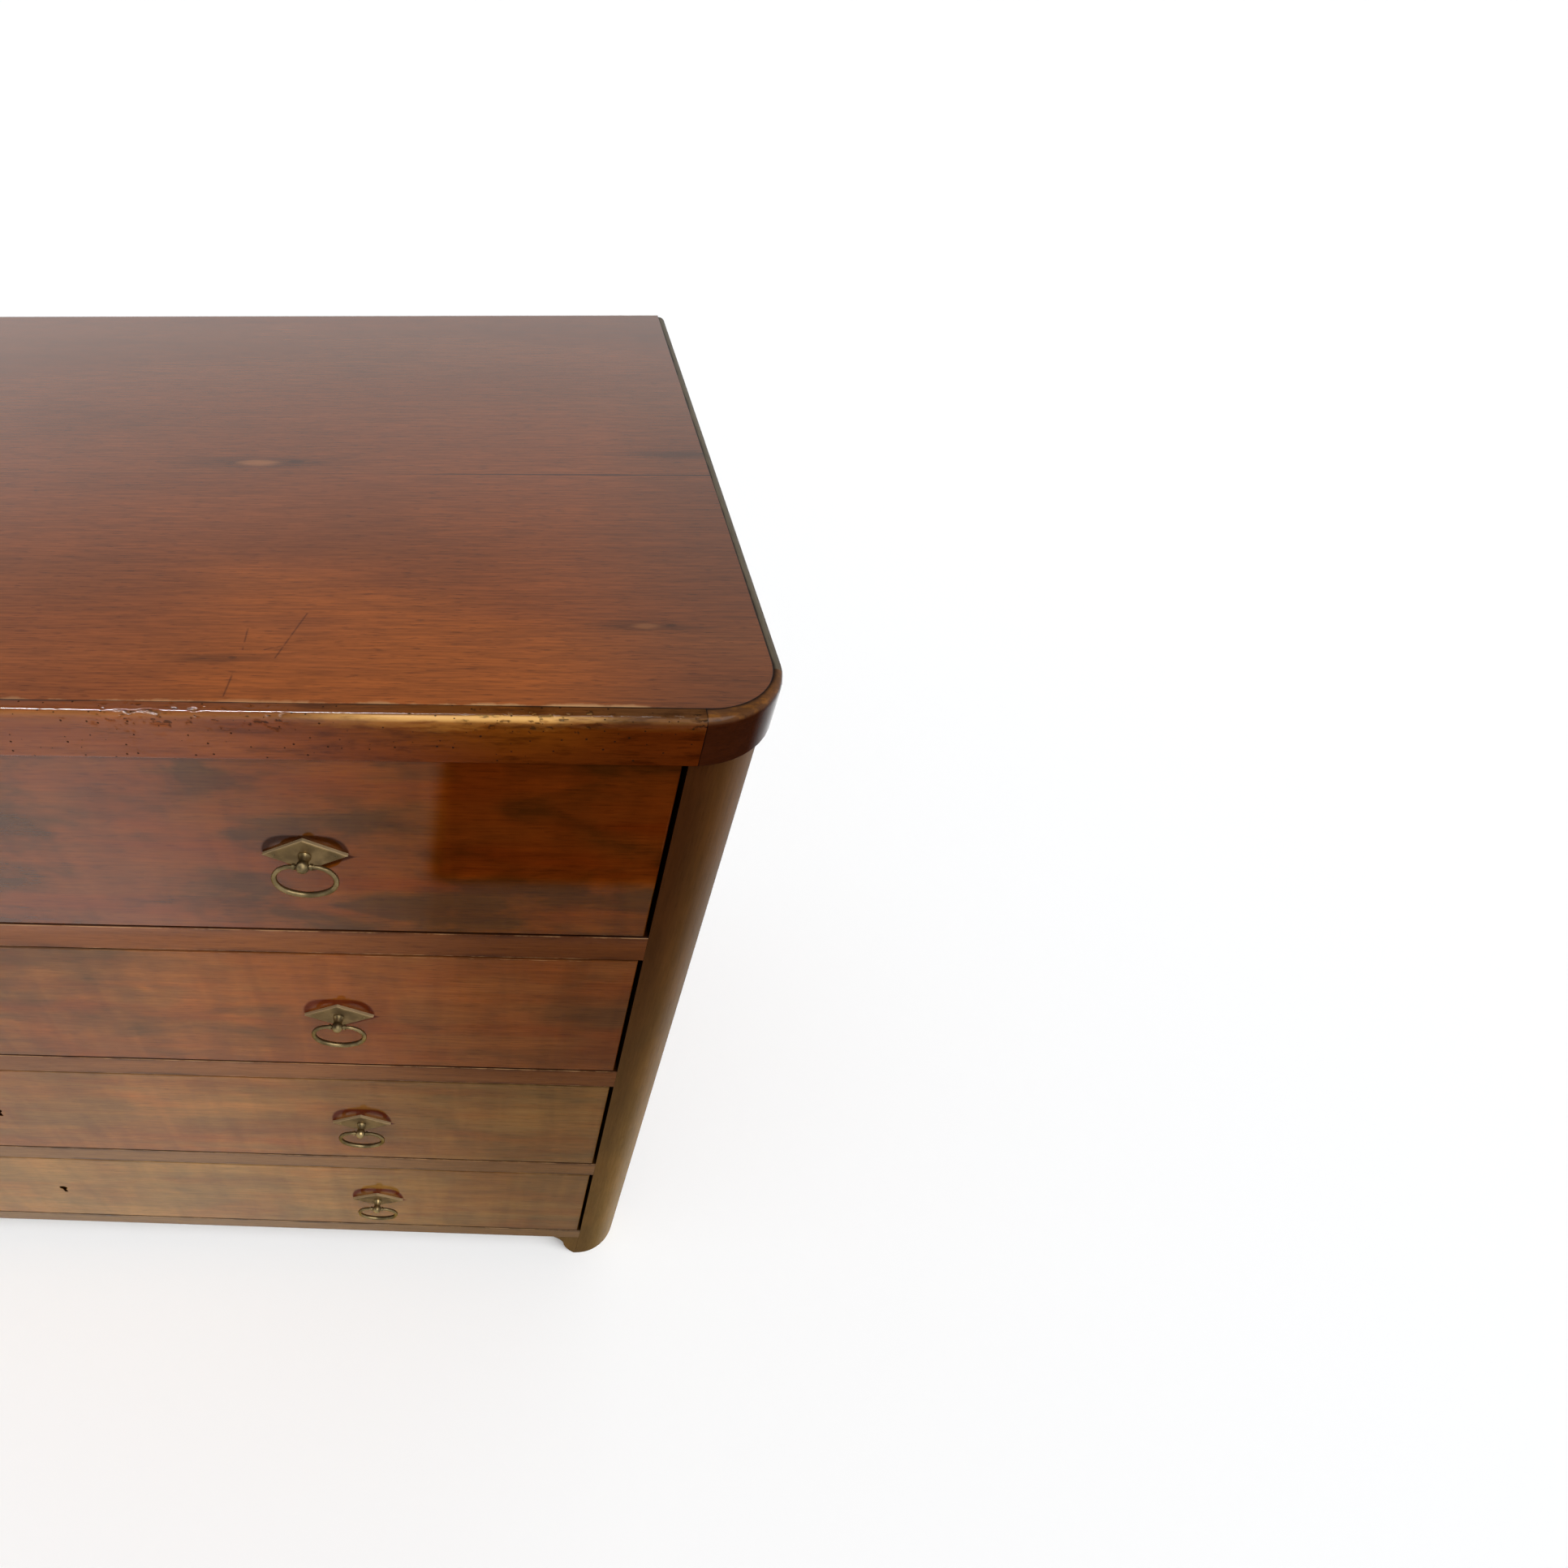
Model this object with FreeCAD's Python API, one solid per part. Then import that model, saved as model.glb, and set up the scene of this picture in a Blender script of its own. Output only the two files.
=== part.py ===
"""Chest of four drawers with quarter-round front posts, a moulded top and ring pulls.

Millimetres, +Z up. Every size is measured from the plane of the drawer fronts (Y = 0, the back
lies towards +Y), the middle of the chest (X = 0) and the floor (Z = 0). The finished solids are
moved along Y, so that the origin lies on the floor under the middle of the whole chest.
"""
import FreeCAD, Part
import math
import os

V = FreeCAD.Vector
SAME_PLANE = 1e-6

# Case
OPENING_WIDTH = 1080.0
DRAWER_1_OPENING = 159.0
DRAWER_2_OPENING = 157.0
DRAWER_3_OPENING = 157.0
DRAWER_4_OPENING = 153.0
DIVIDER_HEIGHT = 26.0
BOTTOM_RAIL_HEIGHT = 22.0
TOP_RAIL_HEIGHT = 14.0
RAIL_DEPTH = 70.0
RAIL_ARRIS = 0.6
TENON_LENGTH = 14.0
TENON_THICKNESS = 12.0
TENON_SHOULDER = 3.0
CASE_DEPTH = 556.0
FOOT_HEIGHT = 49.0

# Posts, sides and back
POST_RADIUS = 46.0
POST_DEPTH = 60.0
REAR_POST_SIZE = 45.0
REAR_FOOT_TAPER = 12.0
SIDE_THICKNESS = 20.0
TONGUE_THICKNESS = 8.0
TONGUE_DEPTH = 8.0
BACK_THICKNESS = 12.0
BACK_REBATE = 10.0
BACK_BOARD_COUNT = 4
BACK_BOARD_GAP = 0.8
REAR_RAIL_HEIGHT = 40.0
REAR_RAIL_DEPTH = 22.0

# Feet
BRACKET_WIDTH = 27.0
BRACKET_TOE = 2.0
BRACKET_HOLLOW = 3.0
BRACKET_SWELL = 1.5
BRACKET_DEPTH = 24.0

# Inside of the case
RUNNER_WIDTH = 62.0
RUNNER_HEIGHT = 20.0
GUIDE_HEIGHT = 24.0
STOP_WIDTH = 50.0
STOP_DEPTH = 14.0
STOP_HEIGHT = 8.0
STOP_SPACING = 700.0
BOTTOM_BOARD_THICKNESS = 10.0
BOTTOM_BOARD_RISE = 4.0

# Top
TOP_THICKNESS = 18.0
TOP_OVERHANG = 4.0
TOP_REAR_OVERHANG = 6.0
FRONT_BOARD_WIDTH = 245.0
BOARD_CORNER_RADIUS = 38.5
EDGE_FRONT_WIDTH = 9.5
EDGE_SIDE_WIDTH = 6.0
EDGE_ROUND = 5.0
EDGE_LOWER_ROUND = 1.5
EDGE_REAR_ROUND = 6.0
BLOCK_FRONT_JOINT = 3.5
BLOCK_SIDE_JOINT = 38.0

# Drawers
DRAWER_REAR_GAP = 32.0
DRAWER_SIDE_GAP = 3.0
FRONT_GAP = 1.5
FRONT_THICKNESS = 22.0
FRONT_ARRIS = 0.8
DRAWER_SIDE_THICKNESS = 13.0
DRAWER_SIDE_DROP = 10.0
DRAWER_BACK_THICKNESS = 12.0
DRAWER_BACK_DROP = 12.0
DRAWER_BOTTOM_THICKNESS = 8.0
DRAWER_BOTTOM_RISE = 11.0
DRAWER_BOTTOM_GROOVE = 6.0
RUNNING_CLEARANCE = 0.2
TAIL_COUNT = 4
TAIL_FLARE = 2.5
PIN_WIDTH = 9.0
DOVETAIL_LAP = 7.0

# Locks
LOCK_WIDTH = 80.0
LOCK_THICKNESS = 14.0
LOCK_RECESS = 8.0
LOCK_BELOW_KEYHOLE = 24.0
LOCK_KEY_DEPTH = 10.0
KEYHOLE_RADIUS = 4.0
KEYHOLE_SLOT_WIDTH = 3.6
KEYHOLE_SLOT_DROP = 11.0
BOLT_WIDTH = 24.0
BOLT_THICKNESS = 6.0
BOLT_LENGTH = 45.0
BOLT_WALL = 2.0
BOLT_TRAVEL = 9.0
BOLT_CLEARANCE = 0.3

# Pulls
PULL_SPACING = 655.4
PLATE_WIDTH = 51.3
PLATE_HEIGHT = 26.6
PLATE_THICKNESS = 2.6
PLATE_EDGE = 2.0
PLATE_BEVEL = 0.7
SHANK_RADIUS = 2.4
SHANK_CLEARANCE = 0.3
SHANK_END = 2.0
COLLAR_RADIUS = 4.0
COLLAR_THICKNESS = 1.0
NECK_RADIUS = 2.9
BALL_RADIUS = 4.1
BALL_REACH = 10.8
NUT_SIZE = 11.0
NUT_THICKNESS = 5.0
RING_WIDTH = 41.0
RING_DROP = 28.2
RING_WIRE = 3.7
RING_END_WIRE = 2.6
RING_STEPS = 5
RING_PIN_RADIUS = 1.2
RING_PIN_CLEARANCE = 0.08
RING_PIN_END_GAP = 1.0
RING_COLLAR_RADIUS = 2.0
RING_COLLAR_WIDTH = 1.6
RING_COLLAR_GAP = 0.4
RING_BAR_END = 0.45
QUARTER_TURN = 90.0

# Places that follow from the sizes above
OPENING_HEIGHTS = (DRAWER_1_OPENING, DRAWER_2_OPENING, DRAWER_3_OPENING, DRAWER_4_OPENING)
DRAWER_COUNT = len(OPENING_HEIGHTS)
OPENING_X = OPENING_WIDTH / 2
CASE_X = OPENING_X + POST_RADIUS
SIDE_INNER_X = CASE_X - SIDE_THICKNESS
REAR_POST_X = CASE_X - REAR_POST_SIZE
REAR_POST_Y = CASE_DEPTH - REAR_POST_SIZE
BACK_INNER_Y = CASE_DEPTH - BACK_THICKNESS
REAR_RAIL_Y = BACK_INNER_Y - REAR_RAIL_DEPTH
LOWEST_LEVEL = FOOT_HEIGHT + BOTTOM_RAIL_HEIGHT
RAIL_Z = LOWEST_LEVEL + sum(OPENING_HEIGHTS) + (DRAWER_COUNT - 1) * DIVIDER_HEIGHT
BOARD_Z = RAIL_Z + TOP_RAIL_HEIGHT
TOP_Z = BOARD_Z + TOP_THICKNESS
TOP_X = CASE_X + TOP_OVERHANG
TOP_FRONT_Y = -TOP_OVERHANG
TOP_REAR_Y = CASE_DEPTH + TOP_REAR_OVERHANG
CORE_X = TOP_X - EDGE_SIDE_WIDTH
CORE_FRONT_Y = TOP_FRONT_Y + EDGE_FRONT_WIDTH
DRAWER_X = OPENING_X - DRAWER_SIDE_GAP
DRAWER_INNER_X = DRAWER_X - DRAWER_SIDE_THICKNESS
DRAWER_LENGTH = REAR_RAIL_Y - DRAWER_REAR_GAP
PULL_REACH = BALL_REACH + BALL_RADIUS
MIDDLE_Y = (TOP_REAR_Y - PULL_REACH) / 2


def opening_floor(number):
    """Height of the surface that a drawer runs on, counting the drawers from the top."""
    below = OPENING_HEIGHTS[number:]
    return LOWEST_LEVEL + sum(below) + len(below) * DIVIDER_HEIGHT


def box(x0, x1, y0, y1, z0, z1):
    return Part.makeBox(x1 - x0, y1 - y0, z1 - z0, V(x0, y0, z0))


def prism(points, direction):
    outline = Part.makePolygon(list(points) + [points[0]])
    return Part.Face(outline).extrude(direction)


def mirrored(shape):
    return shape.mirror(V(0, 0, 0), V(1, 0, 0))


def pair(shape):
    """A piece of the right-hand side and its left-hand twin."""
    return [shape, mirrored(shape)]


def save(node, *shapes):
    """Write one node; a node of several pieces is a group of separate solids."""
    solids = [solid for shape in shapes for solid in shape.Solids]
    group = solids[0] if len(solids) == 1 else Part.makeCompound(solids)
    moved = group.copy()
    moved.translate(V(0, -MIDDLE_Y, 0))
    moved.exportStep(f"parts/{node}.step")


def front_edges(shape, level_only):
    """Edges of a board that lie in its front plane, all four or only the level ones."""
    front = shape.BoundBox.YMin
    chosen = []
    for edge in shape.Edges:
        size = edge.BoundBox
        in_front = size.YMax - front < SAME_PLANE
        level = size.ZLength < SAME_PLANE
        if in_front and (level or not level_only):
            chosen.append(edge)
    return chosen


def plan_prism(half_width, front, rear, radius, z0, z1):
    """Upright block with square rear corners and round front corners."""
    bend_x = half_width - radius
    bend_y = front + radius
    diagonal = radius * math.sqrt(0.5)

    def corner(side, start, end):
        middle = V(side * (bend_x + diagonal), bend_y - diagonal, z0)
        return Part.Arc(start, middle, end).toShape()

    left_side = V(-half_width, bend_y, z0)
    left_front = V(-bend_x, front, z0)
    right_front = V(bend_x, front, z0)
    right_side = V(half_width, bend_y, z0)
    rear_right = V(half_width, rear, z0)
    rear_left = V(-half_width, rear, z0)
    edges = [
        corner(-1, left_side, left_front),
        Part.makeLine(left_front, right_front),
        corner(1, right_front, right_side),
        Part.makeLine(right_side, rear_right),
        Part.makeLine(rear_right, rear_left),
        Part.makeLine(rear_left, left_side),
    ]
    return Part.Face(Part.Wire(edges)).extrude(V(0, 0, z1 - z0))


def top_core(z0, z1):
    """The space inside the edge moulding, which the boards and the case below them fill."""
    return plan_prism(CORE_X, CORE_FRONT_Y, TOP_REAR_Y, BOARD_CORNER_RADIUS, z0, z1)


def inside_moulding(shape):
    """Cut a piece of the case back where the moulding covers its upper end."""
    shell = box(-TOP_X, TOP_X, TOP_FRONT_Y, TOP_REAR_Y, RAIL_Z, TOP_Z)
    return shape.cut(shell.cut(top_core(RAIL_Z, TOP_Z)))


# Top: two boards edge to edge, framed by a moulding with solid corner blocks
def make_top():
    boards = top_core(BOARD_Z, TOP_Z)
    seam_y = CORE_FRONT_Y + FRONT_BOARD_WIDTH
    front_half = box(-TOP_X, TOP_X, TOP_FRONT_Y, seam_y, BOARD_Z, TOP_Z)
    save("top_board_front", boards.common(front_half))
    save("top_board_rear", boards.cut(front_half))

    moulding = plan_prism(TOP_X, TOP_FRONT_Y, TOP_REAR_Y, POST_RADIUS + TOP_OVERHANG, RAIL_Z, TOP_Z)
    rear = [e for e in moulding.Edges if e.BoundBox.YMin > TOP_REAR_Y - SAME_PLANE]
    upright = [e for e in rear if e.BoundBox.ZLength > SAME_PLANE]
    moulding = moulding.makeFillet(EDGE_REAR_ROUND, upright)
    upper = [e for e in moulding.Edges if e.BoundBox.ZMin > TOP_Z - SAME_PLANE]
    moulding = moulding.makeFillet(EDGE_ROUND, upper)
    lower = [e for e in moulding.Edges if e.BoundBox.ZMax < RAIL_Z + SAME_PLANE]
    moulding = moulding.makeFillet(EDGE_LOWER_ROUND, lower)
    moulding = moulding.cut(top_core(RAIL_Z, TOP_Z))

    joint_x = OPENING_X + BLOCK_FRONT_JOINT
    between = box(-joint_x, joint_x, TOP_FRONT_Y, TOP_REAR_Y, RAIL_Z, TOP_Z)
    behind = box(-TOP_X, TOP_X, BLOCK_SIDE_JOINT, TOP_REAR_Y, RAIL_Z, TOP_Z)
    save("top_edge_front", moulding.common(between))
    save("top_edge_sides", moulding.common(behind))
    save("top_corner_blocks", moulding.cut(between).cut(behind))


# Front rails: bottom rail, dividers and top rail, tenoned into the posts
def rail_levels():
    """Lower and upper faces of the front rails, from the top rail down."""
    levels = [(RAIL_Z, BOARD_Z)]
    for number in range(1, DRAWER_COUNT):
        floor = opening_floor(number)
        levels.append((floor - DIVIDER_HEIGHT, floor))
    levels.append((FOOT_HEIGHT, LOWEST_LEVEL))
    return levels


def tenon(z0, z1, shoulder_x, front_y, depth):
    """Tenon on a rail's right-hand end; the post gets a mortise of the same shape."""
    y0 = front_y + (depth - TENON_THICKNESS) / 2
    y1 = y0 + TENON_THICKNESS
    return box(shoulder_x, shoulder_x + TENON_LENGTH, y0, y1, z0 + TENON_SHOULDER, z1 - TENON_SHOULDER)


def front_tenons():
    return [tenon(z0, z1, OPENING_X, 0, POST_DEPTH) for z0, z1 in rail_levels()]


def rear_tenons():
    return [tenon(z0, z1, REAR_POST_X, REAR_RAIL_Y, REAR_RAIL_DEPTH) for z0, z1 in rear_rail_levels()]


def bolt_mortise(number):
    """Hole in the rail above a drawer for the bolt of its lock."""
    ceiling = opening_floor(number) + OPENING_HEIGHTS[number - 1]
    x = BOLT_WIDTH / 2 + BOLT_CLEARANCE
    y0, y1 = bolt_depths()
    depth = BOLT_TRAVEL - FRONT_GAP + BOLT_CLEARANCE
    return box(-x, x, y0 - BOLT_CLEARANCE, y1 + BOLT_CLEARANCE, ceiling, ceiling + depth)


def make_front_rails():
    rails = []
    for (z0, z1), end in zip(rail_levels(), front_tenons()):
        rail = box(-OPENING_X, OPENING_X, 0, RAIL_DEPTH, z0, z1)
        rail = rail.makeChamfer(RAIL_ARRIS, front_edges(rail, level_only=True))
        rails.append(rail.multiFuse(pair(end)))
    for number in range(1, DRAWER_COUNT + 1):
        rails[number - 1] = rails[number - 1].cut(bolt_mortise(number))
    save("top_rail", inside_moulding(rails[0]))
    save("drawer_dividers", *rails[1:-1])
    save("bottom_rail", rails[-1])


# Posts and side panels
def side_tongues():
    """Tongues on both ends of the right-hand side panel, which the posts have grooves for."""
    x0 = SIDE_INNER_X + (SIDE_THICKNESS - TONGUE_THICKNESS) / 2
    x1 = x0 + TONGUE_THICKNESS
    front = box(x0, x1, POST_DEPTH - TONGUE_DEPTH, POST_DEPTH, FOOT_HEIGHT, BOARD_Z)
    rear = box(x0, x1, REAR_POST_Y, REAR_POST_Y + TONGUE_DEPTH, FOOT_HEIGHT, BOARD_Z)
    return [front, rear]


def front_post():
    diagonal = POST_RADIUS * math.sqrt(0.5)
    inner = V(OPENING_X, 0, 0)
    outer = V(CASE_X, POST_RADIUS, 0)
    middle = V(OPENING_X + diagonal, POST_RADIUS - diagonal, 0)
    rear_outer = V(CASE_X, POST_DEPTH, 0)
    rear_inner = V(OPENING_X, POST_DEPTH, 0)
    edges = [
        Part.Arc(inner, middle, outer).toShape(),
        Part.makeLine(outer, rear_outer),
        Part.makeLine(rear_outer, rear_inner),
        Part.makeLine(rear_inner, inner),
    ]
    post = Part.Face(Part.Wire(edges)).extrude(V(0, 0, BOARD_Z))
    post = inside_moulding(post)
    return post.cut(front_tenons() + side_tongues())


def rear_post():
    post = box(REAR_POST_X, CASE_X, REAR_POST_Y, CASE_DEPTH, 0, BOARD_Z)
    rebate = box(REAR_POST_X, REAR_POST_X + BACK_REBATE, BACK_INNER_Y, CASE_DEPTH, FOOT_HEIGHT, BOARD_Z)
    slope = [
        V(REAR_POST_X, REAR_POST_Y, 0),
        V(REAR_POST_X + REAR_FOOT_TAPER, REAR_POST_Y, 0),
        V(REAR_POST_X, REAR_POST_Y, FOOT_HEIGHT),
    ]
    taper = prism(slope, V(0, REAR_POST_SIZE, 0))
    return inside_moulding(post).cut([rebate, taper] + side_tongues() + rear_tenons())


def make_uprights():
    post = front_post()
    save("front_post_right", post)
    save("front_post_left", mirrored(post))
    save("rear_posts", *pair(rear_post()))
    panel = box(SIDE_INNER_X, CASE_X, POST_DEPTH, REAR_POST_Y, FOOT_HEIGHT, BOARD_Z)
    panel = inside_moulding(panel.multiFuse(side_tongues()))
    save("side_panel_right", panel)
    save("side_panel_left", mirrored(panel))


# Feet: a small bracket beside each front post, hollow above and swelling towards its toe
def make_foot_brackets():
    inner = V(OPENING_X - BRACKET_WIDTH, 0, FOOT_HEIGHT)
    toe = V(OPENING_X - BRACKET_TOE, 0, 0)
    chord = toe - inner
    across = V(-chord.z, 0, chord.x).normalize()
    hollow = inner + chord * 0.25 + across * BRACKET_HOLLOW
    middle = inner + chord * 0.5
    swell = inner + chord * 0.75 - across * BRACKET_SWELL
    heel = V(OPENING_X, 0, 0)
    corner = V(OPENING_X, 0, FOOT_HEIGHT)
    edges = [
        Part.Arc(inner, hollow, middle).toShape(),
        Part.Arc(middle, swell, toe).toShape(),
        Part.makeLine(toe, heel),
        Part.makeLine(heel, corner),
        Part.makeLine(corner, inner),
    ]
    bracket = Part.Face(Part.Wire(edges)).extrude(V(0, BRACKET_DEPTH, 0))
    save("foot_brackets", *pair(bracket))


# Back and bottom
def rear_rail_levels():
    return [(BOARD_Z - REAR_RAIL_HEIGHT, BOARD_Z), (FOOT_HEIGHT, FOOT_HEIGHT + REAR_RAIL_HEIGHT)]


def make_back():
    rails = []
    for (z0, z1), end in zip(rear_rail_levels(), rear_tenons()):
        rail = box(-REAR_POST_X, REAR_POST_X, REAR_RAIL_Y, BACK_INNER_Y, z0, z1)
        rails.append(rail.multiFuse(pair(end)))
    save("rear_rails", *rails)

    boards = []
    pitch = (BOARD_Z - FOOT_HEIGHT) / BACK_BOARD_COUNT
    board_x = REAR_POST_X + BACK_REBATE
    for index in range(BACK_BOARD_COUNT):
        z0 = FOOT_HEIGHT + index * pitch
        z1 = z0 + pitch - BACK_BOARD_GAP
        boards.append(box(-board_x, board_x, BACK_INNER_Y, CASE_DEPTH, z0, z1))
    save("back_boards", *boards)

    x = SIDE_INNER_X - RUNNER_WIDTH
    z0 = FOOT_HEIGHT + BOTTOM_BOARD_RISE
    save("bottom_board", box(-x, x, RAIL_DEPTH, REAR_RAIL_Y, z0, z0 + BOTTOM_BOARD_THICKNESS))


# Runners, kickers, guides and stops
def make_drawer_ways():
    runners = []
    guides = []
    stops = []
    runner_x = SIDE_INNER_X - RUNNER_WIDTH
    for number in range(1, DRAWER_COUNT + 1):
        floor = opening_floor(number)
        runner = box(runner_x, SIDE_INNER_X, RAIL_DEPTH, REAR_POST_Y, floor - RUNNER_HEIGHT, floor)
        guide = box(OPENING_X, SIDE_INNER_X, RAIL_DEPTH, REAR_POST_Y, floor, floor + GUIDE_HEIGHT)
        stop_x0 = (STOP_SPACING - STOP_WIDTH) / 2
        stop_x1 = (STOP_SPACING + STOP_WIDTH) / 2
        stop_y1 = FRONT_THICKNESS + STOP_DEPTH
        stop = box(stop_x0, stop_x1, FRONT_THICKNESS, stop_y1, floor, floor + STOP_HEIGHT)
        runners += pair(runner)
        guides += pair(guide)
        stops += pair(stop)
    kicker = box(runner_x, SIDE_INNER_X, RAIL_DEPTH, REAR_POST_Y, RAIL_Z, BOARD_Z)
    save("runners_and_kickers", *runners, *pair(kicker))
    save("drawer_guides", *guides)
    save("drawer_stops", *stops)


# Drawers: lapped dovetails in front, through dovetails behind, bottom in grooves
def tails(z0, z1, root_y, tip_y):
    """Dovetails on one end of the right-hand drawer side."""
    pitch = (z1 - z0) / TAIL_COUNT
    root = (pitch - PIN_WIDTH) / 2
    tip = root + TAIL_FLARE
    solids = []
    for index in range(TAIL_COUNT):
        z = z0 + (index + 0.5) * pitch
        outline = [
            V(DRAWER_INNER_X, root_y, z - root),
            V(DRAWER_INNER_X, tip_y, z - tip),
            V(DRAWER_INNER_X, tip_y, z + tip),
            V(DRAWER_INNER_X, root_y, z + root),
        ]
        solids.append(prism(outline, V(DRAWER_SIDE_THICKNESS, 0, 0)))
    return solids


def bolt_depths():
    """Front and back faces of a lock's bolt."""
    y0 = FRONT_THICKNESS - LOCK_RECESS + BOLT_WALL
    return y0, y0 + BOLT_THICKNESS


def keyhole(z, y0, y1):
    head = Part.makeCylinder(KEYHOLE_RADIUS, y1 - y0, V(0, y0, z), V(0, 1, 0))
    half = KEYHOLE_SLOT_WIDTH / 2
    return head.fuse(box(-half, half, y0, y1, z - KEYHOLE_SLOT_DROP, z))


def make_drawer(number):
    height = OPENING_HEIGHTS[number - 1]
    floor = opening_floor(number)
    front_z0 = floor + FRONT_GAP
    front_z1 = floor + height - FRONT_GAP
    middle_z = (front_z0 + front_z1) / 2
    side_z0 = floor + RUNNING_CLEARANCE
    side_z1 = floor + height - DRAWER_SIDE_DROP
    bottom_z0 = floor + DRAWER_BOTTOM_RISE
    bottom_z1 = bottom_z0 + DRAWER_BOTTOM_THICKNESS
    back_z1 = side_z1 - DRAWER_BACK_DROP
    back_y = DRAWER_LENGTH - DRAWER_BACK_THICKNESS

    groove_x = DRAWER_INNER_X + DRAWER_BOTTOM_GROOVE
    groove_y = FRONT_THICKNESS - DRAWER_BOTTOM_GROOVE
    bottom = box(-groove_x, groove_x, groove_y, DRAWER_LENGTH, bottom_z0, bottom_z1)

    front_tails = tails(front_z0, side_z1, FRONT_THICKNESS, DOVETAIL_LAP)
    back_tails = tails(bottom_z1, back_z1, back_y, DRAWER_LENGTH)
    front_waste = box(DRAWER_INNER_X, DRAWER_X, DOVETAIL_LAP, FRONT_THICKNESS, side_z0, side_z1)
    front_waste = front_waste.cut(front_tails)
    pins = box(DRAWER_INNER_X, DRAWER_X, back_y, DRAWER_LENGTH, bottom_z1, back_z1).cut(back_tails)
    side = box(DRAWER_INNER_X, DRAWER_X, DOVETAIL_LAP, DRAWER_LENGTH, side_z0, side_z1)
    side = side.cut([front_waste, pins, bottom])
    back = box(-DRAWER_INNER_X, DRAWER_INNER_X, back_y, DRAWER_LENGTH, bottom_z1, back_z1)
    back = back.multiFuse(pair(pins))

    lock_x = LOCK_WIDTH / 2
    lock_y0 = FRONT_THICKNESS - LOCK_RECESS
    lock_z0 = middle_z - LOCK_BELOW_KEYHOLE
    lock = box(-lock_x, lock_x, lock_y0, lock_y0 + LOCK_THICKNESS, lock_z0, front_z1)
    front = box(-DRAWER_X, DRAWER_X, 0, FRONT_THICKNESS, front_z0, front_z1)
    front = front.makeChamfer(FRONT_ARRIS, front_edges(front, level_only=False))
    hole_radius = SHANK_RADIUS + SHANK_CLEARANCE
    hole = Part.makeCylinder(hole_radius, FRONT_THICKNESS, V(PULL_SPACING / 2, 0, middle_z), V(0, 1, 0))
    sockets = [socket for tail in front_tails for socket in pair(tail)]
    front = front.cut(sockets + pair(hole) + [bottom, lock, keyhole(middle_z, 0, FRONT_THICKNESS)])

    bolt_y0, bolt_y1 = bolt_depths()
    bolt_x = BOLT_WIDTH / 2
    bolt = box(-bolt_x, bolt_x, bolt_y0, bolt_y1, front_z1 - BOLT_LENGTH, front_z1)
    channel_x = bolt_x + BOLT_CLEARANCE
    channel_y0 = bolt_y0 - BOLT_CLEARANCE
    channel_y1 = bolt_y1 + BOLT_CLEARANCE
    channel_z0 = front_z1 - BOLT_LENGTH - BOLT_CLEARANCE
    channel = box(-channel_x, channel_x, channel_y0, channel_y1, channel_z0, front_z1)
    lock = lock.cut([channel, keyhole(middle_z, lock_y0, lock_y0 + LOCK_KEY_DEPTH)])

    save(f"drawer_{number}_front", front)
    save(f"drawer_{number}_sides", *pair(side))
    save(f"drawer_{number}_back", back)
    save(f"drawer_{number}_bottom", bottom)
    save(f"lock_{number}_case", lock)
    save(f"lock_{number}_bolt", bolt)
    make_pulls(number, middle_z)


# Pulls: rhombic plate, turned post with a ball, ring pivoted in the ball
def rhombus(x, y, z, inset):
    """Rhombus in an upright plane, its sides moved inwards by the inset."""
    half_width = PLATE_WIDTH / 2
    half_height = PLATE_HEIGHT / 2
    shrink = 1 - inset * math.hypot(half_width, half_height) / (half_width * half_height)
    points = [
        V(x - half_width * shrink, y, z),
        V(x, y, z - half_height * shrink),
        V(x + half_width * shrink, y, z),
        V(x, y, z + half_height * shrink),
    ]
    return Part.makePolygon(points + [points[0]])


def pull_plate(x, z):
    edge = Part.Face(rhombus(x, 0, z, 0)).extrude(V(0, -PLATE_EDGE, 0))
    outlines = [rhombus(x, -PLATE_EDGE, z, 0), rhombus(x, -PLATE_THICKNESS, z, PLATE_BEVEL)]
    face = Part.makeLoft(outlines, True, True)
    radius = SHANK_RADIUS + SHANK_CLEARANCE
    hole = Part.makeCylinder(radius, PLATE_THICKNESS, V(x, 0, z), V(0, -1, 0))
    return edge.fuse(face).removeSplitter().cut(hole)


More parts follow.
